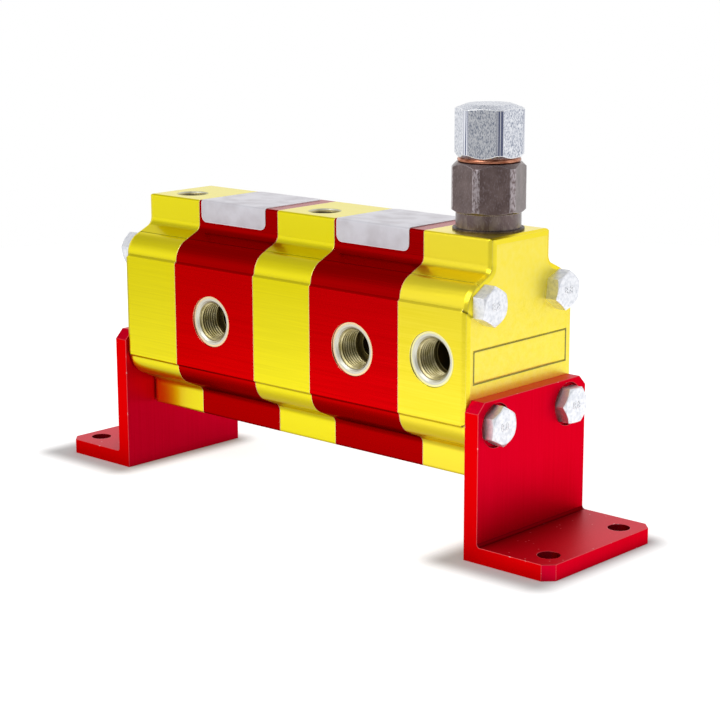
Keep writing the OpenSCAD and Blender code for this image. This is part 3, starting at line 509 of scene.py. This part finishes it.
def browned_steel(finish):
    """Milled steel, browned in a hot bath and oiled: a fine-grained, dark purple-brown skin
    under a thin sheen, blotched on the turned collar and lighter along its corners, where it
    is rubbed through to lighter metal and carries a painted highlight."""
    material, tree, shader, place = new_material(
        "Browned steel, milled and oiled",
        {"Metallic": 1.0, "Coat Weight": 0.9, "Coat Roughness": 0.3},
    )
    milled = grain(tree, place, (0.4, 0.4, 1.1), 4.0)
    patch = grain(tree, place, (4, 4, 6), 3.0)
    deep = add(tree, "MapRange", {"Value": patch, "From Min": 0.35, "From Max": 0.65})
    skin = add(tree, "Mix", {"Factor": deep, "A": "#54403E", "B": finish.brown}, data_type="RGBA")
    light = add(tree, "MapRange", {"Value": milled, "From Min": 0.52, "From Max": 0.78})
    grained = add(tree, "Mix", {"Factor": light, "A": skin, "B": "#86777A"}, data_type="RGBA")
    height = add(tree, "SeparateXYZ", {"Vector": place}).outputs["Z"]
    collar = add(tree, "MapRange", {
        "Value": height, "From Min": COLLAR_TOP, "From Max": COLLAR_TOP - 0.3 * MM
    })
    blotch = add(tree, "MapRange", {
        "Value": grain(tree, place, (3, 3, 6), 2.0),
        "From Min": 0.5, "From Max": 0.62, "To Max": 0.35,
    })
    oil = add(tree, "Math", {0: collar, 1: blotch}, operation="MULTIPLY")
    oiled = add(tree, "Mix", {"Factor": oil, "A": grained, "B": "#94867C"}, data_type="RGBA")
    # Painted highlight and wear: the corners and the hexagon's turned bands are mixed towards a
    # light grey
    rounded, edge = corners(tree, 0.5 * MM)
    band = rolled_band(tree, place, BODY_CORNER_RADIUS)
    lit_and_worn_corners = add(tree, "Math", {0: edge, 1: band}, operation="MAXIMUM")
    thin = add(tree, "MapRange", {
        "Value": grain(tree, place, (0.6, 0.6, 1.6)), "From Min": 0.36, "From Max": 0.58
    })
    rubbed = add(tree, "Math", {0: lit_and_worn_corners, 1: thin}, operation="MULTIPLY")
    worn = add(tree, "Mix", {"Factor": rubbed, "A": oiled, "B": "#AFA4A8"}, data_type="RGBA")
    bump = add(tree, "Bump", {
        "Strength": 0.3, "Distance": 0.03 * MM, "Height": milled, "Normal": rounded
    })
    rough = add(tree, "MapRange", {"Value": patch, "To Min": 0.48, "To Max": 0.38})
    feed(tree, shader, {"Base Color": worn, "Roughness": rough, "Normal": bump})
    return material


def label_film(labels):
    """Metallised polyester film: an even silver-grey sheen, faintly smudged by handling, with
    a painted highlight along its edges."""
    material, tree, shader, place = new_material("Metallised polyester film", {"Metallic": 0.3})
    smudge = add(tree, "MapRange", {
        "Value": grain(tree, place, (9, 7, 9), 4.0), "From Min": 0.42, "From Max": 0.7
    })
    film = add(tree, "Mix", {"Factor": smudge, "A": labels.foil, "B": "#CBC7CD"}, data_type="RGBA")
    # Painted highlight: the film's edges are mixed towards white
    _, edge = corners(tree, 0.5 * MM)
    cut = add(tree, "Mix", {"Factor": edge, "A": film, "B": "#F6F5F8"}, data_type="RGBA")
    rough = add(tree, "MapRange", {"Value": smudge, "To Min": 0.34, "To Max": 0.46})
    feed(tree, shader, {"Base Color": cut, "Roughness": rough})
    return material


def plain_metal(name, tint, shade, cell, roughness):
    """Worked metal: one colour with the faint lines or clouds that the tool left. Real tool
    marks are a few hundredths of a millimetre wide; they are drawn wider so that they show."""
    material, tree, shader, place = new_material(name, {"Metallic": 1.0})
    marks = grain(tree, place, cell, 4.0)
    left = add(tree, "MapRange", {"Value": marks, "From Min": 0.35, "From Max": 0.65})
    toned = add(tree, "Mix", {"Factor": left, "A": shade, "B": tint}, data_type="RGBA")
    rounded, _ = corners(tree, 0.2 * MM)
    rough = add(tree, "MapRange", {
        "Value": marks, "From Min": 0.3, "From Max": 0.7,
        "To Min": roughness + 0.07, "To Max": roughness - 0.07,
    })
    bump = add(tree, "Bump", {
        "Strength": 0.25, "Distance": 0.02 * MM, "Height": marks, "Normal": rounded
    })
    feed(tree, shader, {"Base Color": toned, "Roughness": rough, "Normal": bump})
    return material


def moulded_rubber():
    """Nitrile rubber, moulded in polished steel: near black, with a soft sheen and a faint
    bloom."""
    material, tree, shader, place = new_material("Nitrile rubber, moulded", {"IOR": 1.52})
    bloom = grain(tree, place, (2, 2, 2))
    tint = add(tree, "Mix", {"Factor": bloom, "A": "#161616", "B": "#242423"}, data_type="RGBA")
    rough = add(tree, "MapRange", {"Value": bloom, "To Min": 0.4, "To Max": 0.6})
    bump = add(tree, "Bump", {"Strength": 0.15, "Distance": 0.02 * MM, "Height": bloom})
    feed(tree, shader, {"Base Color": tint, "Roughness": rough, "Normal": bump})
    return material


def dress(material, *names):
    """Gives packed parts their finish."""
    for name in names:
        for slot in NODES[name].material_slots:
            slot.material = material


def finish_piece(piece, name, material, body="stack"):
    """Names a new piece, gives it its finish and lets it ride on its body."""
    piece.name = name
    piece.data.name = name
    piece.data.materials.clear()
    piece.data.materials.append(material)
    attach(piece, body)


# Modelling helpers


def pick(piece, test):
    """In edit mode, selects the vertices whose place passes the test, and what they bound."""
    mesh = bmesh.from_edit_mesh(piece.data)
    mesh.select_mode = {"VERT"}
    for vertex in mesh.verts:
        vertex.select = test(vertex.co)
    mesh.select_flush_mode()
    bmesh.update_edit_mesh(piece.data)


def only(piece):
    """Makes a piece the one that is selected and active."""
    bpy.ops.object.select_all(action="DESELECT")
    piece.select_set(True)
    bpy.context.view_layer.objects.active = piece


def settle(piece, place, turn):
    """Puts a piece at its place and turn, and moves both into its mesh."""
    piece.location = place
    piece.rotation_euler = turn
    only(piece)
    bpy.ops.object.transform_apply(location=True, rotation=True, scale=True)


def copy_of(piece):
    """A copy of a piece with its own mesh."""
    copied = piece.copy()
    copied.data = piece.data.copy()
    bpy.context.scene.collection.objects.link(copied)
    return copied


def apply_last(piece):
    """Applies a piece's last modifier."""
    only(piece)
    bpy.ops.object.modifier_apply(modifier=piece.modifiers[-1].name)


def wind(piece, advance, turns, steps):
    """Winds an open loop of edges round the Y axis into a coil that advances along Y."""
    only(piece)
    bpy.ops.object.modifier_add(type="SCREW")
    winding = piece.modifiers[-1]
    winding.axis = "Y"
    winding.angle = 2 * math.pi
    winding.screw_offset = advance
    winding.iterations = turns
    winding.steps = steps
    winding.render_steps = steps
    apply_last(piece)


def close_shell(piece):
    """Merges a piece's doubles, fills its open ends, turns its faces outwards and shades it
    smooth but for its corners."""
    only(piece)
    bpy.ops.object.mode_set(mode="EDIT")
    bpy.ops.mesh.select_all(action="SELECT")
    bpy.ops.mesh.remove_doubles(threshold=MERGE_DISTANCE)
    bpy.ops.mesh.fill_holes(sides=0)
    bpy.ops.mesh.normals_make_consistent(inside=False)
    bpy.ops.object.mode_set(mode="OBJECT")
    bpy.ops.object.shade_smooth_by_angle(angle=SMOOTH_ANGLE)


def thread_ridge(radius, chamfer, turns, threads):
    """The ridge of an inside thread that starts at the origin and runs along Y, faded out by
    the mouth's chamfer. Its root is sunk into the wall and a little narrower than the pitch."""
    sunk = 0.03 * MM
    height = threads.depth + sunk
    root = 0.92 * threads.pitch
    bpy.ops.object.select_all(action="DESELECT")
    bpy.ops.mesh.primitive_plane_add(size=1)
    ridge = bpy.context.object
    bpy.ops.object.mode_set(mode="EDIT")
    bpy.ops.mesh.delete(type="ONLY_FACE")
    bpy.ops.mesh.select_all(action="SELECT")
    bpy.ops.transform.resize(value=(height, root, 1))
    bpy.ops.transform.translate(value=(radius + sunk - height / 2, 0, 0))
    pick(ridge, lambda place: place.x < radius - height / 2)
    bpy.ops.transform.resize(value=(1, threads.crest / root, 1))
    bpy.ops.object.mode_set(mode="OBJECT")
    wind(ridge, threads.pitch, turns, threads.steps)
    close_shell(ridge)
    mouth = radius + chamfer
    outside = 1 * MM
    bpy.ops.object.select_all(action="DESELECT")
    bpy.ops.mesh.primitive_cone_add(
        vertices=2 * threads.steps,
        radius1=mouth + outside,
        radius2=0,
        depth=mouth + outside,
        location=(0, (mouth - outside) / 2, 0),
        rotation=(-math.pi / 2, 0, 0),
    )
    cutter = bpy.context.object
    only(ridge)
    bpy.ops.object.modifier_add(type="BOOLEAN")
    ridge.modifiers[-1].object = cutter
    ridge.modifiers[-1].operation = "DIFFERENCE"
    ridge.modifiers[-1].solver = "EXACT"
    apply_last(ridge)
    bpy.data.objects.remove(cutter)
    only(ridge)
    bpy.ops.object.shade_smooth_by_angle(angle=SMOOTH_ANGLE)
    return ridge


def folded_label(low, high, labels):
    """A flat film with round corners, bent over an edge that runs along X, between these two
    corners of the packed label."""
    bend = math.pi / 2 / labels.bends
    straight_end = low.y + labels.fold
    hanging = high.z - low.z - labels.fold
    front_end = straight_end - labels.fold * math.pi / 2 - hanging
    bpy.ops.object.select_all(action="DESELECT")
    bpy.ops.mesh.primitive_plane_add(
        size=1, location=((low.x + high.x) / 2, (high.y + front_end) / 2, high.z)
    )
    label = bpy.context.object
    label.scale = (high.x - low.x, high.y - front_end, 1)
    bpy.ops.object.transform_apply(location=True, rotation=True, scale=True)
    bpy.ops.object.mode_set(mode="EDIT")
    bpy.ops.mesh.select_all(action="SELECT")
    bpy.ops.mesh.bevel(offset=labels.corner, segments=8, affect="VERTICES")
    lines = [straight_end - labels.fold * bend * (step + 0.5) for step in range(labels.bends)]
    for line in lines:
        bpy.ops.mesh.select_all(action="SELECT")
        bpy.ops.mesh.bisect(plane_co=(0, line, high.z), plane_no=(0, 1, 0))
    for line in reversed(lines):
        pick(label, lambda place: place.y < line + MERGE_DISTANCE)
        bpy.ops.transform.rotate(value=-bend, orient_axis="X", center_override=(0, line, high.z))
    bpy.ops.object.mode_set(mode="OBJECT")
    only(label)
    bpy.ops.object.modifier_add(type="SOLIDIFY")
    label.modifiers[-1].thickness = labels.thickness
    label.modifiers[-1].offset = -1
    apply_last(label)
    bpy.ops.object.shade_smooth_by_angle(angle=SMOOTH_ANGLE)
    return label


def trimmed(piece, low, high):
    """A copy of a coil round the Y axis, cut off flat at these two heights. The default
    threshold would merge the cut's small faces."""
    part = copy_of(piece)
    only(part)
    bpy.ops.object.mode_set(mode="EDIT")
    for end, outward in ((low, -1), (high, 1)):
        bpy.ops.mesh.select_all(action="SELECT")
        bpy.ops.mesh.bisect(
            plane_co=(0, end, 0), plane_no=(0, outward, 0),
            use_fill=True, clear_outer=True, threshold=1e-7,
        )
    bpy.ops.object.mode_set(mode="OBJECT")
    bpy.ops.object.shade_smooth_by_angle(angle=SMOOTH_ANGLE)
    return part


# Pieces


class DressStack(Operator):
    """Finish the end covers, the middle plate and the gear sections."""

    bl_idname = "flow_divider.dress_stack"
    bl_label = "Anodised stack"
    bl_options = {"REGISTER", "UNDO"}

    def execute(self, context):
        finish = context.scene.flow_divider_finish
        yellow = {"bare": finish.bare, "pale": "#FFF9B4", "coat": 0.3, "roughness": 0.32}
        red = {"bare": finish.bare, "pale": "#FFE0B0", "coat": 0.0, "roughness": 0.27}
        # Each row: tone, dye, deep dye, the blocks' colour (for red a painted shade), the film's
        # settings and the parts
        for tone, dye, deep, block, film, names in (
            ("yellow", finish.yellow, finish.yellow_deep, finish.yellow, yellow,
             ("left_end_cover", "middle_plate")),
            ("red", finish.red, finish.red_deep, "#A40004", red,
             ("section_1_housing", "section_2_housing")),
            ("pale yellow", finish.inlet_yellow, finish.inlet_deep, finish.inlet_yellow, yellow,
             ("inlet_cover",)),
        ):
            name = "Anodised aluminium, drawn, dyed " + tone
            dress(anodised_stack(name, dye, deep, block, **film), *names)
        return {"FINISHED"}


class DressAngles(Operator):
    """Finish the mounting angles."""

    bl_idname = "flow_divider.dress_angles"
    bl_label = "Mounting angles"
    bl_options = {"REGISTER", "UNDO"}

    def execute(self, context):
        angle = anodised_angle(context.scene.flow_divider_finish)
        dress(angle, "left_bracket", "right_bracket")
        return {"FINISHED"}


class DressValve(Operator):
    """Finish the outside of the relief valve."""

    bl_idname = "flow_divider.dress_valve"
    bl_label = "Relief valve"
    bl_options = {"REGISTER", "UNDO"}

    def execute(self, context):
        finish = context.scene.flow_divider_finish
        # Crystals of about 0.3 mm, stretched along the bar that the nut is cut from
        cap = zinc_plated(
            "Zinc-plated hexagon bar", cell=(0.4, 0.4, 0.9), relief=1.0, tint=finish.zinc,
            dull="#8A92A6", corner=0.99, roughness=0.3, rolled=CAP_CORNER_RADIUS,
        )
        # Stamped from sheet and blackened: dull and dark, without lines
        washer = plain_metal("Blackened steel, stamped", "#6A5C54", "#4A3F39", (2, 2, 2), 0.45)
        # Annealed soft: rosy and bright, with fine rings round its edge
        copper = plain_metal("Copper, annealed", "#D09074", "#8C5038", (3, 3, 0.35), 0.3)
        dress(cap, "cap_nut")
        dress(browned_steel(finish), "valve_body")
        dress(washer, "valve_base_washer")
        dress(copper, "copper_washer")
        return {"FINISHED"}


class DressBolts(Operator):
    """Finish the bolts and stamp the strength class on their heads."""

    bl_idname = "flow_divider.dress_bolts"
    bl_label = "Bolts"
    bl_options = {"REGISTER", "UNDO"}

    def execute(self, context):
        marks = context.scene.flow_divider_marks
        zinc = zinc_plated(
            "Zinc-plated steel, forged", cell=(1.5, 1.5, 1.5), relief=0.08,
            tint="#F5F6FA", dull="#DEE1E8", corner=0.93, roughness=0.48,
        )
        dress(zinc, *BOLT_NODES, "adjuster_lock_nut")
        sunk = 0.1 * MM
        bpy.ops.object.select_all(action="DESELECT")
        bpy.ops.object.text_add()
        figures = bpy.context.object
        figures.data.body = marks.text
        figures.data.size = marks.height
        figures.data.align_x = "CENTER"
        figures.data.align_y = "CENTER"
        figures.data.extrude = (marks.relief + sunk) / 2
        bpy.ops.object.convert(target="MESH")
        close_shell(figures)
        for node in BOLT_NODES:
            low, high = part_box(node)
            right = high.x > -low.x
            side = 1 if right else -1
            face = high.x if right else low.x
            for number, across in enumerate((-1, 1), 1):
                mark = copy_of(figures)
                place = (
                    face + side * (marks.relief - sunk) / 2,
                    across * marks.spacing / 2,
                    (low.z + high.z) / 2,
                )
                settle(mark, place, (math.pi / 2, 0, side * math.pi / 2))
                finish_piece(mark, f"{node}_mark_{number}", zinc)
        bpy.data.objects.remove(figures)
        return {"FINISHED"}


class CutThreads(Operator):
    """Cut the pipe threads of the ports."""

    bl_idname = "flow_divider.cut_threads"
    bl_label = "Port threads"
    bl_options = {"REGISTER", "UNDO"}

    def execute(self, context):
        threads = context.scene.flow_divider_threads
        # Cut by a tap and wet with its oil: straw-coloured and half bright
        tapped = plain_metal("Aluminium, tapped", "#D2C79A", "#A89C66", (4, 4, 4), 0.42)
        for group, chamfer, slot_names in (
            (FRONT_PORTS, threads.front_chamfer,
             ("red_anodised", "red_anodised", "yellow_anodised")),
            (TOP_PORTS, threads.top_chamfer, ("yellow_anodised", "yellow_anodised")),
        ):
            dims = MOUNTS[group[0]]["dims"]
            depth = dims["length_mm"] * MM
            ridge = thread_ridge(dims["r_mm"] * MM, chamfer, int(depth / threads.pitch), threads)
            for name, slot in zip(group, slot_names):
                outward = Vector(MOUNTS[name]["axis"])
                mouth = Vector(MOUNTS[name]["pos_m"]) + outward * (depth / 2 + chamfer)
                cut = copy_of(ridge)
                settle(cut, mouth, Vector((0, 1, 0)).rotation_difference(-outward).to_euler())
                finish_piece(cut, name + "_thread", tapped)
            bpy.data.objects.remove(ridge)
        return {"FINISHED"}


class StickLabels(Operator):
    """Stick the foil labels over the front edge of the gear sections."""

    bl_idname = "flow_divider.stick_labels"
    bl_label = "Labels"
    bl_options = {"REGISTER", "UNDO"}

    def execute(self, context):
        labels = context.scene.flow_divider_labels
        film = label_film(labels)
        for node in ("label_1", "label_2"):
            label = folded_label(*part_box(node), labels)
            finish_piece(label, node.replace("label", "foil_label"), film)
            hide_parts(node)
        return {"FINISHED"}


class WindSpring(Operator):
    """Wind the relief spring. The poppet presses its lower half, the spring seat its upper."""

    bl_idname = "flow_divider.wind_spring"
    bl_label = "Relief spring"
    bl_options = {"REGISTER", "UNDO"}

    def execute(self, context):
        spring = context.scene.flow_divider_spring
        low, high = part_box("relief_spring")
        height = high.z - low.z
        dead = 1.03 * spring.wire
        ground = 0.3 * spring.wire
        advance = (height - 2 * dead - spring.wire + 2 * ground) / spring.open_turns
        start = spring.wire / 2 - ground
        coils = []
        for rise, turns in ((dead, 1), (advance, spring.open_turns), (dead, 1)):
            bpy.ops.object.select_all(action="DESELECT")
            bpy.ops.mesh.primitive_circle_add(vertices=spring.sides, radius=spring.wire / 2)
            coil = bpy.context.object
            bpy.ops.object.mode_set(mode="EDIT")
            bpy.ops.mesh.select_all(action="SELECT")
            bpy.ops.transform.translate(value=(spring.coil, start, 0))
            bpy.ops.object.mode_set(mode="OBJECT")
            wind(coil, rise, turns, spring.steps)
            coils.append(coil)
            start += rise * turns
        only(coils[0])
        for coil in coils:
            coil.select_set(True)
        bpy.ops.object.join()
        wire = bpy.context.object
        close_shell(wire)
        # Drawn hard and wound cold: grey and fairly bright
        steel = plain_metal("Spring steel wire, drawn", "#7C8086", "#5F6368", (1, 1, 1), 0.35)
        middle = (low + high) / 2
        half = height / 2
        for name, foot, joint in (
            ("relief_spring_lower", 0, "poppet_lift"),
            ("relief_spring_upper", half, "pressure_adjust"),
        ):
            part = trimmed(wire, foot, foot + half)
            settle(part, (middle.x, middle.y, low.z), (math.pi / 2, 0, 0))
            finish_piece(part, name, steel)
            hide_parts("relief_spring")
            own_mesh(part)
        bpy.data.objects.remove(wire)
        return {"FINISHED"}


class DressInnerParts(Operator):
    """Finish the gears, bearings, seals and valve parts inside."""

    bl_idname = "flow_divider.dress_inner_parts"
    bl_label = "Inner parts"
    bl_options = {"REGISTER", "UNDO"}

    def execute(self, context):
        # Ground: bright and even, with fine lines along the shafts
        ground = plain_metal("Hardened steel, ground", "#B4B6B9", "#9A9C9F", (8, 0.5, 0.5), 0.25)
        # Turned: warm satin grey with faint rings
        block = plain_metal("Bearing aluminium, turned", "#C6C1B2", "#B2AC9C", (0.6, 3, 3), 0.35)
        # Rolled from strip: brownish gold with short lines
        bronze = plain_metal("Bearing bronze, rolled", "#B28A58", "#98713F", (2, 1, 1), 0.35)
        dress(
            ground, "dowel_pins", "drive_gear_1", "driven_gear_1", "drive_gear_2",
            "driven_gear_2", "drive_coupling", "valve_seat", "relief_poppet", "spring_seat",
            "adjusting_screw",
        )
        dress(
            block, "bearing_block_1_left", "bearing_block_1_right", "bearing_block_2_left",
            "bearing_block_2_right",
        )
        dress(bronze, "bearing_bushes")
        dress(
            moulded_rubber(), "pressure_seals", "section_seals", "gallery_seals", "drain_seals",
            "valve_nose_seal", "spring_seat_seal",
        )
        return {"FINISHED"}


# Stage


class SetStage(Operator):
    """Lay the floor and set the studio light and the camera."""

    bl_idname = "flow_divider.set_stage"
    bl_label = "Stage"
    bl_options = {"REGISTER", "UNDO"}

    def execute(self, context):
        stage = context.scene.flow_divider_stage
        lay_floor(stage)
        light_studio(context.scene)
        set_camera(context.scene, stage)
        context.scene.view_settings.view_transform = "Standard"
        return {"FINISHED"}


def shade_of_feet(tree, place):
    """How light the floor is beside the two feet, a painted shadow from 0.08 close to them to
    0.85 away from them. The painted shadow leans a little towards the front left."""
    moved = add(tree, "VectorMath", {0: place, 1: (3 * MM, 4 * MM, 0)})
    one_foot = add(tree, "VectorMath", {0: moved}, operation="ABSOLUTE")
    centred = add(tree, "VectorMath", {0: one_foot, 1: FOOT_CENTRE}, operation="SUBTRACT")
    quarter = add(tree, "VectorMath", {0: centred}, operation="ABSOLUTE")
    past = add(tree, "VectorMath", {0: quarter, 1: FOOT_HALF}, operation="SUBTRACT")
    outside = add(tree, "VectorMath", {0: past, 1: (0, 0, 0)}, operation="MAXIMUM")
    beside = add(tree, "VectorMath", {0: outside}, operation="LENGTH")
    near = add(tree, "MapRange", {
        "Value": beside, "From Max": 15 * MM, "To Min": 0.08, "To Max": 0.78
    }, interpolation_type="SMOOTHSTEP")
    wide = add(tree, "MapRange", {
        "Value": beside, "From Min": 10 * MM, "From Max": 50 * MM, "To Max": 0.07
    })
    return add(tree, "Math", {0: near, 1: wide})


def lay_floor(stage):
    """A round floor that shows white but keeps its shadows, with a painted shadow about the
    feet. Its front strip is painted dark grey, showing white to the camera, as shade for the upper
    blocks of the stack to mirror."""
    bpy.ops.object.select_all(action="DESELECT")
    bpy.ops.mesh.primitive_circle_add(vertices=128, radius=stage.floor_radius, fill_type="NGON")
    floor = bpy.context.object
    floor.name = "floor"
    material, tree, shader, place = new_material(
        "Painted board, matt white", {"Roughness": 0.9, "IOR": 1.3, "Emission Color": WHITE}
    )
    paper = grain(tree, place, (3, 3, 3))
    paint = add(
        tree, "Mix", {"Factor": paper, "A": stage.floor_colour, "B": "#B8B8B8"},
        data_type="RGBA",
    )
    parts = add(tree, "SeparateXYZ", {"Vector": place}).outputs
    # Painted shade: a dark front strip for the metal to mirror
    strip = add(tree, "MapRange", {"Value": parts["Y"], "From Min": -0.35, "From Max": -0.45})
    tint = add(tree, "Mix", {"Factor": strip, "A": paint, "B": "#4A4A4A"}, data_type="RGBA")
    # What the camera sees
    shade = shade_of_feet(tree, place)
    shown = add(tree, "Math", {0: strip, 1: 0.4, 2: shade}, operation="MULTIPLY_ADD")
    path = add(tree, "LightPath").outputs
    to_eye = add(tree, "Math", {0: path["Is Camera Ray"], 1: shown}, operation="MULTIPLY")
    # Painted light and shade for what metal mirrors: the floor glows for it, less far out, little
    # under the stack, standing for its shadow there, and less in the feet's painted shadow
    distance = add(tree, "VectorMath", {0: place, 1: (0.1, 0.1, 0)}, operation="DISTANCE")
    fading = add(tree, "MapRange", {
        "Value": distance, "From Min": 0.3, "From Max": 0.72, "To Min": 0.9, "To Max": 0.15
    })
    ahead = add(tree, "Math", {0: parts["Y"]}, operation="ABSOLUTE")
    clear = add(tree, "MapRange", {
        "Value": ahead, "From Min": 0.05, "From Max": 0.12, "To Min": 0.35
    })
    right = add(tree, "MapRange", {"Value": parts["X"], "From Min": 0.09, "From Max": 0.11})
    open_floor = add(tree, "Math", {0: clear, 1: right}, operation="MAXIMUM")
    lit = add(tree, "Math", {0: fading, 1: open_floor}, operation="MULTIPLY")
    bright = add(tree, "Math", {0: shade, 1: 1.2}, operation="MULTIPLY")
    mirrored = add(tree, "Math", {0: lit, 1: bright}, operation="MULTIPLY")
    to_metal = add(tree, "Math", {0: path["Is Glossy Ray"], 1: mirrored}, operation="MULTIPLY")
    glow = add(tree, "Math", {0: to_eye, 1: to_metal})
    feed(tree, shader, {"Base Color": tint, "Emission Strength": glow})
    floor.data.materials.append(material)


def light_studio(scene):
    """A white room: bright near the horizon, dimmer overhead and behind the camera, and one
    soft lamp."""
    world = bpy.data.worlds.new("Studio")
    world.use_nodes = True
    scene.world = world
    tree = world.node_tree
    direction = add(tree, "TexCoord").outputs["Generated"]
    parts = add(tree, "SeparateXYZ", {"Vector": direction}).outputs
    behind = add(tree, "Math", {0: parts["Y"], 1: 0.0}, operation="MAXIMUM")
    rise = add(tree, "Math", {0: behind, 1: -0.8, 2: parts["Z"]}, operation="MULTIPLY_ADD")
    sky = add(tree, "MapRange", {
        "Value": rise, "From Min": 0.15, "From Max": 0.62, "To Min": 1.0, "To Max": 0.48
    }, interpolation_type="SMOOTHSTEP")
    front_right = add(
        tree, "VectorMath", {0: direction, 1: (0.675, -0.738, 0)}, operation="DOT_PRODUCT"
    )
    dim = add(tree, "MapRange", {
        "Value": front_right, "From Min": 0.35, "From Max": 0.9, "To Min": 1.0, "To Max": 0.5
    }, interpolation_type="SMOOTHSTEP")
    level = add(tree, "Math", {0: sky, 1: dim}, operation="MULTIPLY")
    to_eye = add(tree, "LightPath").outputs["Is Camera Ray"]
    shown = add(tree, "Mix", {"Factor": to_eye, "A": level, "B": 1.0}, data_type="FLOAT")
    feed(tree, tree.nodes["Background"], {"Color": WHITE, "Strength": shown})
    softbox("softbox_front", place=(-0.1, -0.8, 0.9), aim=(0, 0, 0.08), side=0.8, power=6)


def softbox(name, place, aim, side, power):
    """A square lamp at this place that faces its aim."""
    lamp = bpy.data.lights.new(name, "AREA")
    lamp.size = side
    lamp.energy = power
    holder = bpy.data.objects.new(name, lamp)
    bpy.context.scene.collection.objects.link(holder)
    holder.location = place
    holder.rotation_euler = (Vector(aim) - Vector(place)).to_track_quat("-Z", "Y").to_euler()


def set_camera(scene, stage):
    """The camera at the photograph's viewing angle."""
    view = bpy.data.cameras.new("camera")
    view.lens = stage.lens
    camera = bpy.data.objects.new("camera", view)
    scene.collection.objects.link(camera)
    camera.location = stage.camera_place
    aim = Vector(stage.camera_aim) - Vector(stage.camera_place)
    turn = aim.to_track_quat("-Z", "Y") @ Quaternion((0, 0, 1), stage.roll)
    camera.rotation_euler = turn.to_euler()
    scene.camera = camera


STEPS = (
    DressStack,
    DressAngles,
    DressValve,
    DressBolts,
    CutThreads,
    StickLabels,
    WindSpring,
    DressInnerParts,
    SetStage,
)


class FlowDividerPanel(Panel):
    """Lists the steps that finish the flow divider."""

    bl_idname = "FLOWDIVIDER_PT_steps"
    bl_label = "Gear flow divider"
    bl_space_type = "VIEW_3D"
    bl_region_type = "UI"
    bl_category = "Flow divider"

    def draw(self, context):
        for step in STEPS:
            self.layout.operator(step.bl_idname)
        for name, group in SETTINGS.items():
            box = self.layout.box()
            box.label(text=group.__doc__)
            for setting in group.__annotations__:
                box.prop(getattr(context.scene, name), setting)


CLASSES = (*SETTINGS.values(), *STEPS, FlowDividerPanel)


def register():
    """Adds the classes to Blender and their settings to its scenes."""
    for added in CLASSES:
        bpy.utils.register_class(added)
    for name, group in SETTINGS.items():
        setattr(bpy.types.Scene, name, PointerProperty(type=group))


def unregister():
    """Takes them away again."""
    for name in SETTINGS:
        delattr(bpy.types.Scene, name)
    for added in reversed(CLASSES):
        bpy.utils.unregister_class(added)


def main():
    """Runs every step."""
    register()
    bpy.ops.flow_divider.dress_stack()
    bpy.ops.flow_divider.dress_angles()
    bpy.ops.flow_divider.dress_valve()
    bpy.ops.flow_divider.dress_bolts()
    bpy.ops.flow_divider.cut_threads()
    bpy.ops.flow_divider.stick_labels()
    bpy.ops.flow_divider.wind_spring()
    bpy.ops.flow_divider.dress_inner_parts()
    bpy.ops.flow_divider.set_stage()


if __name__ == "__main__":
    main()
